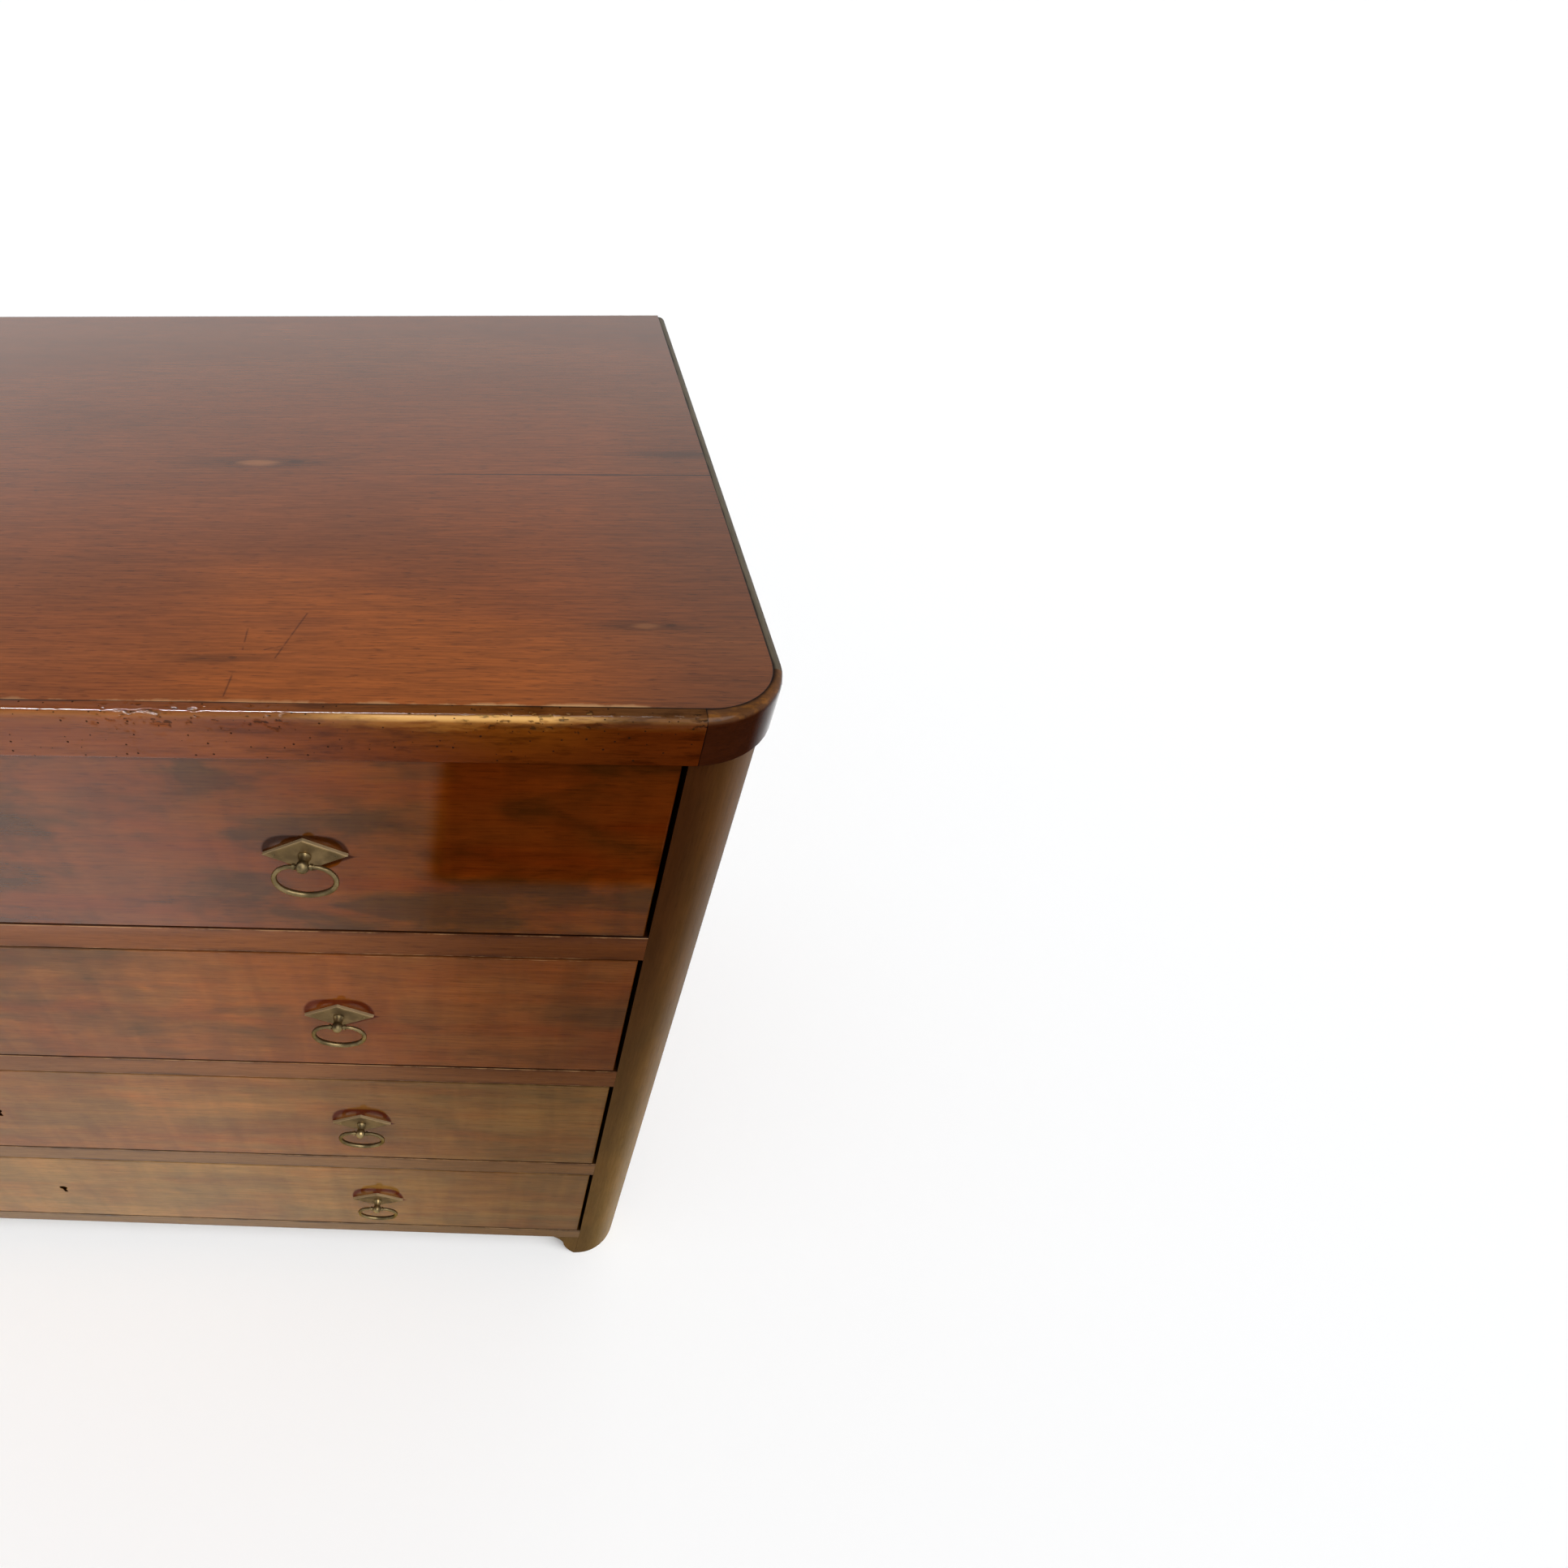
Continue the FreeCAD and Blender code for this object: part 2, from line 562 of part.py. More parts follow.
def pull_post(x, z):
    """Turned post, revolved about its own axis; its shank passes through the drawer front."""
    shank_y = FRONT_THICKNESS + NUT_THICKNESS + SHANK_END
    collar_y = -PLATE_THICKNESS - COLLAR_THICKNESS
    neck_y = -BALL_REACH + math.sqrt(BALL_RADIUS ** 2 - NECK_RADIUS ** 2)
    flare = V(x + NECK_RADIUS + (COLLAR_RADIUS - NECK_RADIUS) / 4, (collar_y + neck_y) / 2, z)
    neck = V(x + NECK_RADIUS, neck_y, z)
    tip = V(x, -PULL_REACH, z)
    straight = [
        V(x, shank_y, z),
        V(x + SHANK_RADIUS, shank_y, z),
        V(x + SHANK_RADIUS, -PLATE_THICKNESS, z),
        V(x + COLLAR_RADIUS, -PLATE_THICKNESS, z),
        V(x + COLLAR_RADIUS, collar_y, z),
    ]
    edges = [Part.makeLine(start, end) for start, end in zip(straight, straight[1:])]
    edges.append(Part.Arc(straight[-1], flare, neck).toShape())
    edges.append(Part.Arc(neck, V(x + BALL_RADIUS, -BALL_REACH, z), tip).toShape())
    edges.append(Part.makeLine(tip, straight[0]))
    post = Part.Face(Part.Wire(edges)).revolve(V(x, 0, z), V(0, 1, 0), 360)
    bore_radius = RING_PIN_RADIUS + RING_PIN_CLEARANCE
    bore = Part.makeCylinder(bore_radius, 2 * BALL_RADIUS, V(x - BALL_RADIUS, -BALL_REACH, z), V(1, 0, 0))
    return post.cut(bore)


def pull_nut(x, z):
    half = NUT_SIZE / 2
    nut = box(x - half, x + half, FRONT_THICKNESS, FRONT_THICKNESS + NUT_THICKNESS, z - half, z + half)
    hole = Part.makeCylinder(SHANK_RADIUS, NUT_THICKNESS, V(x, FRONT_THICKNESS, z), V(0, 1, 0))
    return nut.cut(hole)


def ring_stations(collar_x):
    """Points and headings along the right-hand half of the ring, from its collar to its lowest point."""
    half_width = (RING_WIDTH - RING_WIRE) / 2
    bar_x = collar_x + RING_BAR_END
    shoulder = half_width - bar_x
    depth = RING_DROP - RING_WIRE / 2 - shoulder
    side = (depth + depth ** 2 / half_width) / 2
    belly = half_width ** 2 / depth
    slope = 2 * half_width * (half_width + depth) / (depth * (2 * half_width + depth))
    side_turn = math.degrees(math.atan(slope))
    bends = [
        (V(bar_x, 0, -shoulder), QUARTER_TURN),
        (V(half_width - side, 0, -shoulder), side_turn),
        (V(0, 0, belly - depth - shoulder), QUARTER_TURN - side_turn),
    ]
    point = V(bar_x, 0, 0)
    heading = 0.0
    stations = [(V(collar_x, 0, 0), heading), (point, heading)]
    for centre, turn in bends:
        arm = point - centre
        for step in range(1, RING_STEPS + 1):
            angle = turn * step / RING_STEPS
            stations.append((centre + FreeCAD.Rotation(V(0, 1, 0), angle).multVec(arm), heading + angle))
        point, heading = stations[-1]
    return stations


def ring_section(point, heading):
    """Cross-section of the ring's wire, which swells from its ends to its lowest point."""
    swell = (RING_WIRE - RING_END_WIRE) * math.sin(math.radians(heading / 2))
    circle = Part.Wire(Part.makeCircle((RING_END_WIRE + swell) / 2, V(0, 0, 0), V(1, 0, 0)))
    circle.rotate(V(0, 0, 0), V(0, 1, 0), heading)
    circle.translate(point)
    return circle


def ring_wire(collar_x):
    right = ring_stations(collar_x)
    left = [(V(-point.x, 0, point.z), 4 * QUARTER_TURN - heading) for point, heading in right[-2::-1]]
    return Part.makeLoft([ring_section(point, heading) for point, heading in right + left], True)


def ring():
    """Ring hung from its pivot at the origin: a bent wire with a collar and a pin on each end."""
    collar_x0 = BALL_RADIUS + RING_COLLAR_GAP
    collar_x1 = collar_x0 + RING_COLLAR_WIDTH
    collar = Part.makeCylinder(RING_COLLAR_RADIUS, RING_COLLAR_WIDTH, V(collar_x0, 0, 0), V(1, 0, 0))
    pin_length = collar_x0 - RING_PIN_END_GAP
    pin = Part.makeCylinder(RING_PIN_RADIUS, pin_length, V(RING_PIN_END_GAP, 0, 0), V(1, 0, 0))
    return ring_wire(collar_x1).multiFuse(pair(pin) + pair(collar)).removeSplitter()


def make_pulls(number, z):
    x = PULL_SPACING / 2
    save(f"pull_plates_{number}", *pair(pull_plate(x, z)))
    save(f"pull_posts_{number}", *pair(pull_post(x, z)), *pair(pull_nut(x, z)))
    for side, place in (("left", -x), ("right", x)):
        hung = ring()
        hung.translate(V(place, -BALL_REACH, z))
        save(f"ring_{number}_{side}", hung)


os.makedirs("parts", exist_ok=True)
make_top()
make_front_rails()
make_uprights()
make_foot_brackets()
make_back()
make_drawer_ways()
for drawer_number in range(1, DRAWER_COUNT + 1):
    make_drawer(drawer_number)
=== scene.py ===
"""Looks of a chest of four drawers: polished red-brown wood, ring pulls of aged brass, pine inside.

Metres, +Z up, the front faces -Y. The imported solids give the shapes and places; this script gives
their finishes, a worn front moulding, the small pins, nails and screws, and the studio around them.
"""
import math

import bmesh
import bpy
from mathutils import Matrix, Vector, noise


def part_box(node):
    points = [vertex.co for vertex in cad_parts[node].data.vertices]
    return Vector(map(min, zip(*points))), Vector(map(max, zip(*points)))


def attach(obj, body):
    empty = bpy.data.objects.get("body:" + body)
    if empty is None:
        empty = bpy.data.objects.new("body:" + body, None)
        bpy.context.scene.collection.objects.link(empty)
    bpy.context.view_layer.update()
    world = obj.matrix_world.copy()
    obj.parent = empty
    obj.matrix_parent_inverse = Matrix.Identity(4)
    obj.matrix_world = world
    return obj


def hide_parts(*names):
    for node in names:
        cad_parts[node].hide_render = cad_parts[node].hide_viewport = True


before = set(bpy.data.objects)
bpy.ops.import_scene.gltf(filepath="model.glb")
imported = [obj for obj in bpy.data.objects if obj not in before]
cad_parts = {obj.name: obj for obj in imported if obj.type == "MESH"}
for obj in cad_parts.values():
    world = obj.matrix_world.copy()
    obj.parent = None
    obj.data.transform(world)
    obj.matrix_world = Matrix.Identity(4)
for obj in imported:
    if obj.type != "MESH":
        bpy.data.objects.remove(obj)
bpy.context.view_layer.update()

MM = 0.001
DRAWERS = (1, 2, 3, 4)
SIDES = ("left", "right")
FRONT_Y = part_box("drawer_1_front")[0].y

# Camera: the photograph is square, and its lens axis meets it left of the middle
PHOTO_PX = 1932
FOCAL_PX = 1114.84
LENS_AXIS_PX = 566.7
SENSOR_MM = 36.0
CAMERA_PLACE = Vector((0.4374, FRONT_Y - 0.3417, 1.1053))
CAMERA_YAW = -0.0505
CAMERA_PITCH = 0.796
CAMERA_ROLL = 0.02

# Studio: bright towards the horizon, dimmer overhead, a soft sun from the front right,
# and a long narrow lamp above
FLOOR_SIZE = 60.0
FLOOR_COLOUR = (0.950, 0.958, 0.965, 1)
HORIZON_LIGHT = 1.0
CEILING_LIGHT = 0.2
HORIZON_TOP = math.sin(math.radians(10))
CEILING_START = math.sin(math.radians(60))
SUN_STRENGTH = 2.4
SUN_SOFTNESS = math.radians(50)
SUN_TURN = (math.radians(34), 0, math.radians(30))
LAMP_PLACE = (-0.75, FRONT_Y + 0.12, 2.3)
LAMP_SIZE = (3.1, 0.05)
LAMP_POWER = 85.0

# Wood: sets of colours from dark to pale, then single colours
TOP_COLOURS = ((0.165, 0.041, 0.008, 1), (0.190, 0.048, 0.010, 1), (0.212, 0.057, 0.013, 1))
EDGE_COLOURS = ((0.090, 0.016, 0.001, 1), (0.138, 0.027, 0.003, 1), (0.188, 0.046, 0.007, 1))
SIDE_COLOURS = ((0.100, 0.025, 0.004, 1), (0.130, 0.034, 0.006, 1), (0.160, 0.046, 0.009, 1))
RAIL_COLOURS = ((0.135, 0.039, 0.008, 1), (0.172, 0.053, 0.012, 1), (0.205, 0.067, 0.017, 1))
# The grey colours of the side strips are a painted sheen
STRIP_SHEEN_COLOURS = ((0.060, 0.048, 0.031, 1), (0.085, 0.068, 0.044, 1), (0.110, 0.088, 0.057, 1))
PINE_COLOURS = ((0.300, 0.165, 0.070, 1), (0.440, 0.270, 0.125, 1), (0.540, 0.365, 0.190, 1))
STRIP_FACE = (0.036, 0.018, 0.008, 1)
BLOCK_FACE = (0.024, 0.005, 0.001, 1)
BLOCK_TOP = (0.086, 0.034, 0.011, 1)
GLOW_COLOUR = (0.260, 0.066, 0.010, 1)
FADED_COLOUR = (0.165, 0.084, 0.026, 1)
AMBER_COLOUR = (0.135, 0.036, 0.003, 1)
RUBBED_COLOUR = (0.235, 0.088, 0.014, 1)
# The bright gold of the moulding's round is partly rubbed wood and partly a painted highlight
GILT_AND_HIGHLIGHT_COLOUR = (0.680, 0.380, 0.120, 1)
# Bare wood of worn arrises, which on the rails is partly a painted highlight
BARE_AND_GLINT_COLOUR = (0.480, 0.265, 0.115, 1)
KNOT_COLOUR = (0.340, 0.125, 0.040, 1)
DIRT_COLOUR = (0.010, 0.006, 0.003, 1)

# Posts, at the top and at the floor: beside the drawers, and towards the sides, where the paler colour is
# a painted sheen
POST_INSIDE = ((0.034, 0.010, 0.002, 1), (0.105, 0.056, 0.018, 1))
POST_SHEEN_OUTSIDE = ((0.100, 0.044, 0.011, 1), (0.210, 0.124, 0.041, 1))

# Drawer fronts from the top down: colour about the middle, darker colour towards the ends, which is
# painted shade, and smoky patches
FRONTS = (
    ((0.147, 0.036, 0.003, 1), (0.119, 0.033, 0.003, 1), 1.3),
    ((0.186, 0.059, 0.009, 1), (0.107, 0.033, 0.007, 1), 0.8),
    ((0.206, 0.082, 0.016, 1), (0.112, 0.055, 0.014, 1), 0.45),
    ((0.251, 0.119, 0.025, 1), (0.121, 0.057, 0.013, 1), 0.4),
)

# Metals: bright colour, tarnished colour, roughness, and how metallic they are
PLATE_METAL = ((0.190, 0.126, 0.056, 1), (0.110, 0.073, 0.034, 1), 0.40, 0.65)
RING_METAL = ((0.210, 0.155, 0.076, 1), (0.095, 0.070, 0.034, 1), 0.26, 0.9)
POST_METAL = ((0.320, 0.235, 0.110, 1), (0.085, 0.063, 0.032, 1), 0.28, 0.9)
IRON_METAL = ((0.120, 0.110, 0.100, 1), (0.070, 0.045, 0.030, 1), 0.45, 1.0)

# Painted highlight on the sides of the plates, and the colours of metals seen at a low angle
PLATE_EDGE_HIGHLIGHT = (0.43, 0.31, 0.17, 1)
BRASS_EDGE = (0.70, 0.52, 0.28, 1)
IRON_EDGE = (1, 1, 1, 1)

# Tints that darken the wood below them; the tints over the dull patch and towards the ends are painted
# shade, the end tint also makes random mottles, and the grime tint is also painted shade in gaps,
# keyholes and beside the drawers
SMOKE_TINT = (0.48, 0.62, 0.80, 1)
DULL_PATCH_SHADE_TINT = (0.60, 0.42, 0.45, 1)
RED_TINT = (0.98, 0.78, 0.60, 1)
END_SHADE_AND_MOTTLE_TINT = (0.42, 0.38, 0.34, 1)
SHADE_TINT = (0.62, 0.68, 0.76, 1)
KNOT_TINT = (0.30, 0.34, 0.40, 1)
GRIME_AND_SHADE_TINT = (0.12, 0.10, 0.08, 1)

# Marks on the top, by distance from the middle of the chest and from the front of the boards.
# Knots: place, length and how pale the core is. Scratches: start and end
KNOTS = (
    ((0.268, 0.261), 20 * MM, 0.6),
    ((0.521, 0.069), 11 * MM, 0.4),
    ((0.568, 0.276), 13 * MM, 0.0),
    ((0.285, 0.036), 9 * MM, 0.0),
)
SCRATCHES = (
    ((0.331, 0.078), (0.320, 0.037)),
    ((0.323, 0.048), (0.313, 0.044)),
    ((0.300, 0.063), (0.301, 0.044)),
    ((0.300, 0.024), (0.299, 0.005)),
)
SCRATCH_WIDTH = 0.9 * MM

# Top boards: the radius of their corners, and where the warm worn field begins and ends, from the middle
BOARD_CORNER = 38.5 * MM
GLOW_START = (0.22, 0.32)
GLOW_END = (0.56, 0.44)

# Front: the heights between which it fades, and a slanted line beside which its upper part is dull, with
# painted shade over it
FADE_HEIGHTS = (0.62, 0.06)
POST_FADE_HEIGHTS = (0.74, 0.02)
UPPER_Z = 0.612
DULL_X = 0.402
DULL_SLANT = 0.113
DULL_Z = 0.673

# Painted reflection of the ring and post above the plates of each drawer, and painted shadow under them:
# its tint, and how far it lies above and below them
PULL_REFLECTION_AND_SHADOW_TINTS = (
    (0.30, 0.28, 0.60, 1),
    (0.46, 0.30, 0.55, 1),
    (0.42, 0.20, 0.35, 1),
    (0.42, 0.18, 0.30, 1),
)
PULL_REFLECTION_RISES = (2 * MM, 6 * MM, 10 * MM, 11 * MM)
PLATE_SHADOW_DROP = 3 * MM

# Painted shade in the keyholes: half their width, and how far they lie from the arrises
KEYHOLE_REACH = 8 * MM
KEYHOLE_INSET = 20 * MM

# Widths of worn arrises, of dirt in the joints, and of the gap around a drawer
TOP_ARRIS = 2.0 * MM
FRONT_ARRIS = 0.9 * MM
RAIL_ARRIS = 1.1 * MM
BOARD_JOINT = 0.5 * MM
MOULDING_JOINT = 0.9 * MM
STRIP_JOINT = 1.4 * MM
BLOCK_JOINT = 2.2 * MM
BLOCK_END_JOINT = 1.2 * MM
DRAWER_GAP = 1.5 * MM

# Shifts along the grain, so that no two boards look alike
REAR_BOARD_SHIFT = 0.83
MOULDING_SHIFT = 0.21
DRAWER_SHIFT = 0.37
RAIL_SHIFT = 0.6

# Front moulding: where it is rubbed to gold, with a painted highlight on its round, and chipped, from the
# middle; its worm holes, rounds and wear
GOLD_START = (0.31, 0.41)
GOLD_END = (0.52, 0.45)
CHIPPED = ((0.27, 0.045), (0.46, 0.05))
WORM_CELL = 7.5 * MM
ROUND = 5.0 * MM
LOWER_ROUND = 1.5 * MM
MOULDING_STEP = 0.8 * MM
TOP_STEPS = 6
ROUND_STEPS = 14
FACE_STEPS = 26
LOWER_STEPS = 4
WORN_DEPTH = 0.3 * MM
CHIP_DEPTH = 0.7 * MM
WORN_REACH = 9 * MM

# Small fixings: radius and height of their heads, how much the heads vary, and how far in they lie
PIN_HEAD = (0.9 * MM, 0.5 * MM)
SCREW_HEAD = (3.0 * MM, 0.9 * MM)
NAIL_HEAD = (2.2 * MM, 0.7 * MM)
HEAD_SPREAD = (0.88, 1.1)
PIN_INSET = 7.0 * MM
SCREW_INSET = 7.0 * MM
NAIL_INSET = 20 * MM
NAIL_END = 6 * MM
NAILS_ACROSS = 14
BACK_BOARDS = 4


class Sheet:
    """A node tree being drawn: adds nodes, sets their inputs and wires them together."""

    def __init__(self, tree):
        self.tree = tree

    def put(self, socket, value):
        if isinstance(value, bpy.types.NodeSocket):
            self.tree.links.new(value, socket)
        else:
            socket.default_value = value

    def fill(self, node, inputs):
        for key, value in inputs.items():
            self.put(node.inputs[key], value)
        return node

    def add(self, kind, inputs=None, **settings):
        node = self.tree.nodes.new(kind)
        for name, value in settings.items():
            setattr(node, name, value)
        return self.fill(node, inputs or {})

    def math(self, operation, *values, clamp=False):
        node = self.add("ShaderNodeMath", dict(enumerate(values)), operation=operation, use_clamp=clamp)
        return node.outputs[0]

    def vector(self, operation, *values):
        return self.add("ShaderNodeVectorMath", dict(enumerate(values)), operation=operation).outputs

    def stretched(self, position, scale):
        return self.vector("MULTIPLY", position, scale)[0]

    def length(self, vector, stretch):
        return self.vector("LENGTH", self.stretched(vector, stretch))["Value"]

    def scaled(self, vector, factor):
        node = self.add("ShaderNodeVectorMath", {0: vector, "Scale": factor}, operation="SCALE")
        return node.outputs[0]

    def noise(self, position, detail=3.0, roughness=0.55, distortion=0.0, scale=1.0):
        inputs = {"Vector": position, "Scale": scale, "Detail": detail}
        inputs.update({"Roughness": roughness, "Distortion": distortion})
        return self.add("ShaderNodeTexNoise", inputs).outputs[0]

    def ramp(self, value, low, high, to_low=0.0, to_high=1.0):
        """Smooth step from one value to another."""
        inputs = {"Value": value, "From Min": low, "From Max": high, "To Min": to_low, "To Max": to_high}
        return self.add("ShaderNodeMapRange", inputs, interpolation_type="SMOOTHSTEP").outputs[0]

    def minus(self, value, other):
        return self.math("SUBTRACT", value, other)

    def size(self, value):
        return self.math("ABSOLUTE", value)

    def most(self, value, other):
        return self.math("MAXIMUM", value, other)

    def line(self, value, slope, start):
        """Start plus slope times value."""
        return self.math("MULTIPLY_ADD", value, slope, start)

    def rest(self, share, clamp=False):
        """What a share leaves of one."""
        return self.math("SUBTRACT", 1.0, share, clamp=clamp)

    def about_one(self, value, spread):
        """Factor that a noise moves up and down from one."""
        return self.ramp(value, 0.30, 0.70, self.rest(spread), self.math("ADD", 1.0, spread))

    def product(self, *values):
        result = values[0]
        for value in values[1:]:
            result = self.math("MULTIPLY", result, value)
        return result

    def mix(self, share, first, second):
        return self.add("ShaderNodeMix", {0: share, 6: first, 7: second}, data_type="RGBA").outputs[2]

    def tint(self, share, colour, tint):
        """Colour multiplied by a tint, as far as the share says."""
        inputs = {0: share, 6: colour, 7: tint}
        return self.add("ShaderNodeMix", inputs, data_type="RGBA", blend_type="MULTIPLY").outputs[2]

    def shaded(self, colour, wood):
        """Colour with the light and dark of the grain."""
        return self.tint(1.0, colour, wood["Shade"])

    def axes(self, position):
        return self.add("ShaderNodeSeparateXYZ", {0: position}).outputs

    def joined(self, x=0.0, y=0.0, z=0.0):
        return self.add("ShaderNodeCombineXYZ", {"X": x, "Y": y, "Z": z}).outputs[0]

    def nearest(self, value, levels):
        """Distance from a value to the nearest of several levels."""
        result = None
        for level in levels:
            distance = self.size(self.minus(value, level))
            result = distance if result is None else self.math("MINIMUM", result, distance)
        return result

    def use(self, group, inputs):
        """Place a group and give it its values."""
        return self.fill(self.add("ShaderNodeGroup", node_tree=group), inputs).outputs


def new_group(name, inputs, outputs, kind="ShaderNodeTree"):
    """Empty node group; its sockets are given as name and kind."""
    tree = bpy.data.node_groups.new(name, kind)
    for direction, sockets in (("INPUT", inputs), ("OUTPUT", outputs)):
        for socket, socket_kind in sockets.items():
            tree.interface.new_socket(socket, in_out=direction, socket_type="NodeSocket" + socket_kind)
    sheet = Sheet(tree)
    return tree, sheet, sheet.add("NodeGroupInput").outputs, sheet.add("NodeGroupOutput").inputs


# Shader groups that several finishes share
def make_grain_group():
    """Straight grain along X: soft clouds of colour, streaks, short fibres and dark pores."""
    sockets = {"Position": "Vector", "Dark": "Color", "Middle": "Color", "Pale": "Color"}
    sockets.update({"Streaks": "Float", "Fibres": "Float", "Pores": "Float"})
    outputs = {"Color": "Color", "Shade": "Float", "Height": "Float"}
    tree, sheet, given, result = new_group("straight grain", sockets, outputs)
    position = given["Position"]
    clouds = sheet.noise(sheet.stretched(position, (2.0, 8.0, 8.0)), distortion=0.4)
    streaks = sheet.noise(sheet.stretched(position, (5.5, 110.0, 110.0)), detail=4.0, roughness=0.6)
    fibres = sheet.noise(sheet.stretched(position, (34.0, 600.0, 600.0)), roughness=0.6)
    pores = sheet.noise(sheet.stretched(position, (95.0, 1000.0, 1000.0)), detail=1.0)
    colour = sheet.mix(sheet.ramp(clouds, 0.50, 0.70), given["Middle"], given["Pale"])
    colour = sheet.mix(sheet.ramp(clouds, 0.48, 0.30), colour, given["Dark"])
    streak_shade = sheet.about_one(streaks, given["Streaks"])
    fibre_shade = sheet.about_one(fibres, given["Fibres"])
    pore_mask = sheet.product(sheet.ramp(pores, 0.58, 0.70), given["Pores"])
    shade = sheet.product(streak_shade, fibre_shade, sheet.rest(pore_mask))
    sheet.put(result["Color"], sheet.scaled(colour, shade))
    sheet.put(result["Shade"], shade)
    sheet.put(result["Height"], sheet.minus(sheet.product(fibres, 0.3), pore_mask))
    return tree


def make_smoke_group():
    """Smoky patches of old stain with soft borders, drawn out along the grain."""
    sockets = {"Position": "Vector", "Amount": "Float"}
    tree, sheet, given, result = new_group("smoky patches", sockets, {"Mask": "Float"})
    position = given["Position"]
    cloud = sheet.noise(sheet.stretched(position, (13.0, 30.0, 30.0)), detail=4.0, distortion=0.4)
    patch = sheet.noise(sheet.stretched(position, (2.6, 8.0, 8.0)), detail=1.0)
    total = sheet.line(cloud, 0.6, sheet.product(patch, 0.4))
    sheet.put(result["Mask"], sheet.product(sheet.ramp(total, 0.43, 0.62), given["Amount"]))
    return tree


def make_age_and_shade_group():
    """How the front changes: paler towards the floor, dull where the polish has gone, with painted shade
    there and towards the ends.
    """
    outputs = {"Faded": "Float", "Dull Shade": "Float", "Coat": "Float", "End": "Float"}
    tree, sheet, given, result = new_group("age_and_shade", {"Position": "Vector"}, outputs)
    x, _, z = sheet.axes(given["Position"])
    out = sheet.size(x)
    cloud = sheet.noise(given["Position"], scale=16.0)
    across = sheet.line(sheet.minus(cloud, 0.5), 0.06, out)
    upper = sheet.ramp(z, UPPER_Z - 0.01, UPPER_Z + 0.01)
    # The dull patch: the polish is gone there, and its darkening is painted shade
    rise = sheet.minus(z, DULL_Z)
    beside = sheet.minus(out, sheet.line(rise, DULL_SLANT, DULL_X))
    dull = sheet.ramp(beside, -12 * MM, 8 * MM)
    dull = sheet.product(dull, sheet.ramp(rise, -12 * MM, 12 * MM, 0.3, 1.0), upper)
    faded = sheet.ramp(z, *FADE_HEIGHTS)
    least = sheet.line(faded, 0.11, 0.05)
    below = sheet.ramp(across, 0.12, 0.50, 0.46, least)
    above = sheet.ramp(across, 0.18, 0.42, 0.76, 0.14)
    coat = sheet.line(upper, sheet.minus(above, below), below)
    sheet.put(result["Faded"], faded)
    sheet.put(result["Dull Shade"], dull)
    sheet.put(result["Coat"], sheet.product(coat, sheet.ramp(dull, 0.0, 0.8, 1.0, 0.0)))
    # Painted shade towards the ends
    sheet.put(result["End"], sheet.ramp(across, 0.20, 0.52))
    return tree


def make_outline_group():
    """Distance inside a rectangle with rounded corners, in the X and Y of a position."""
    sockets = {"Position": "Vector", "Centre": "Vector", "Half Size": "Vector", "Corner": "Float"}
    tree, sheet, given, result = new_group("distance from the outline", sockets, {"Distance": "Float"})
    offset = sheet.vector("ABSOLUTE", sheet.vector("SUBTRACT", given["Position"], given["Centre"])[0])[0]
    beyond = sheet.axes(sheet.vector("SUBTRACT", offset, given["Half Size"])[0])
    x = sheet.math("ADD", beyond["X"], given["Corner"])
    y = sheet.math("ADD", beyond["Y"], given["Corner"])
    out_x = sheet.most(x, 0.0)
    out_y = sheet.most(y, 0.0)
    squares = sheet.line(out_x, out_x, sheet.product(out_y, out_y))
    inner = sheet.math("MINIMUM", sheet.most(x, y), 0.0)
    signed = sheet.math("ADD", sheet.math("SQRT", squares), inner)
    signed = sheet.minus(signed, given["Corner"])
    sheet.put(result["Distance"], sheet.product(signed, -1.0))
    return tree


def make_arris_group():
    """Worn line along an arris, broken up as cloths leave it, grime beside it, and painted shade in the
    gap behind it.
    """
    sockets = {"Position": "Vector", "Distance": "Float", "Width": "Float", "Behind": "Float"}
    tree, sheet, given, result = new_group("worn arris and gap shade", sockets, {"Rubbed And Glint": "Float", "Grime And Shade": "Float"})
    breaks = sheet.noise(given["Position"], detail=4.0, scale=38.0, roughness=0.65)
    width = sheet.product(given["Width"], sheet.ramp(breaks, 0.30, 0.72, 0.3, 1.7))
    near = sheet.rest(sheet.math("DIVIDE", given["Distance"], width), clamp=True)
    face = sheet.ramp(given["Behind"], 0.3 * MM, 0.1 * MM)
    sheet.put(result["Rubbed And Glint"], sheet.product(near, sheet.ramp(breaks, 0.36, 0.56), face))
    reach = sheet.product(given["Width"], 4.5)
    grime = sheet.rest(sheet.math("DIVIDE", given["Distance"], reach), clamp=True)
    clouds = sheet.noise(given["Position"], scale=17.0)
    grime = sheet.product(grime, sheet.ramp(clouds, 0.35, 0.65))
    # Painted shade in the gap behind the arris
    gap_shade = sheet.ramp(given["Behind"], 14 * MM, 5 * MM)
    gap_shade = sheet.product(gap_shade, sheet.ramp(given["Behind"], 0.1 * MM, 0.35 * MM))
    sheet.put(result["Grime And Shade"], sheet.most(grime, gap_shade))
    return tree


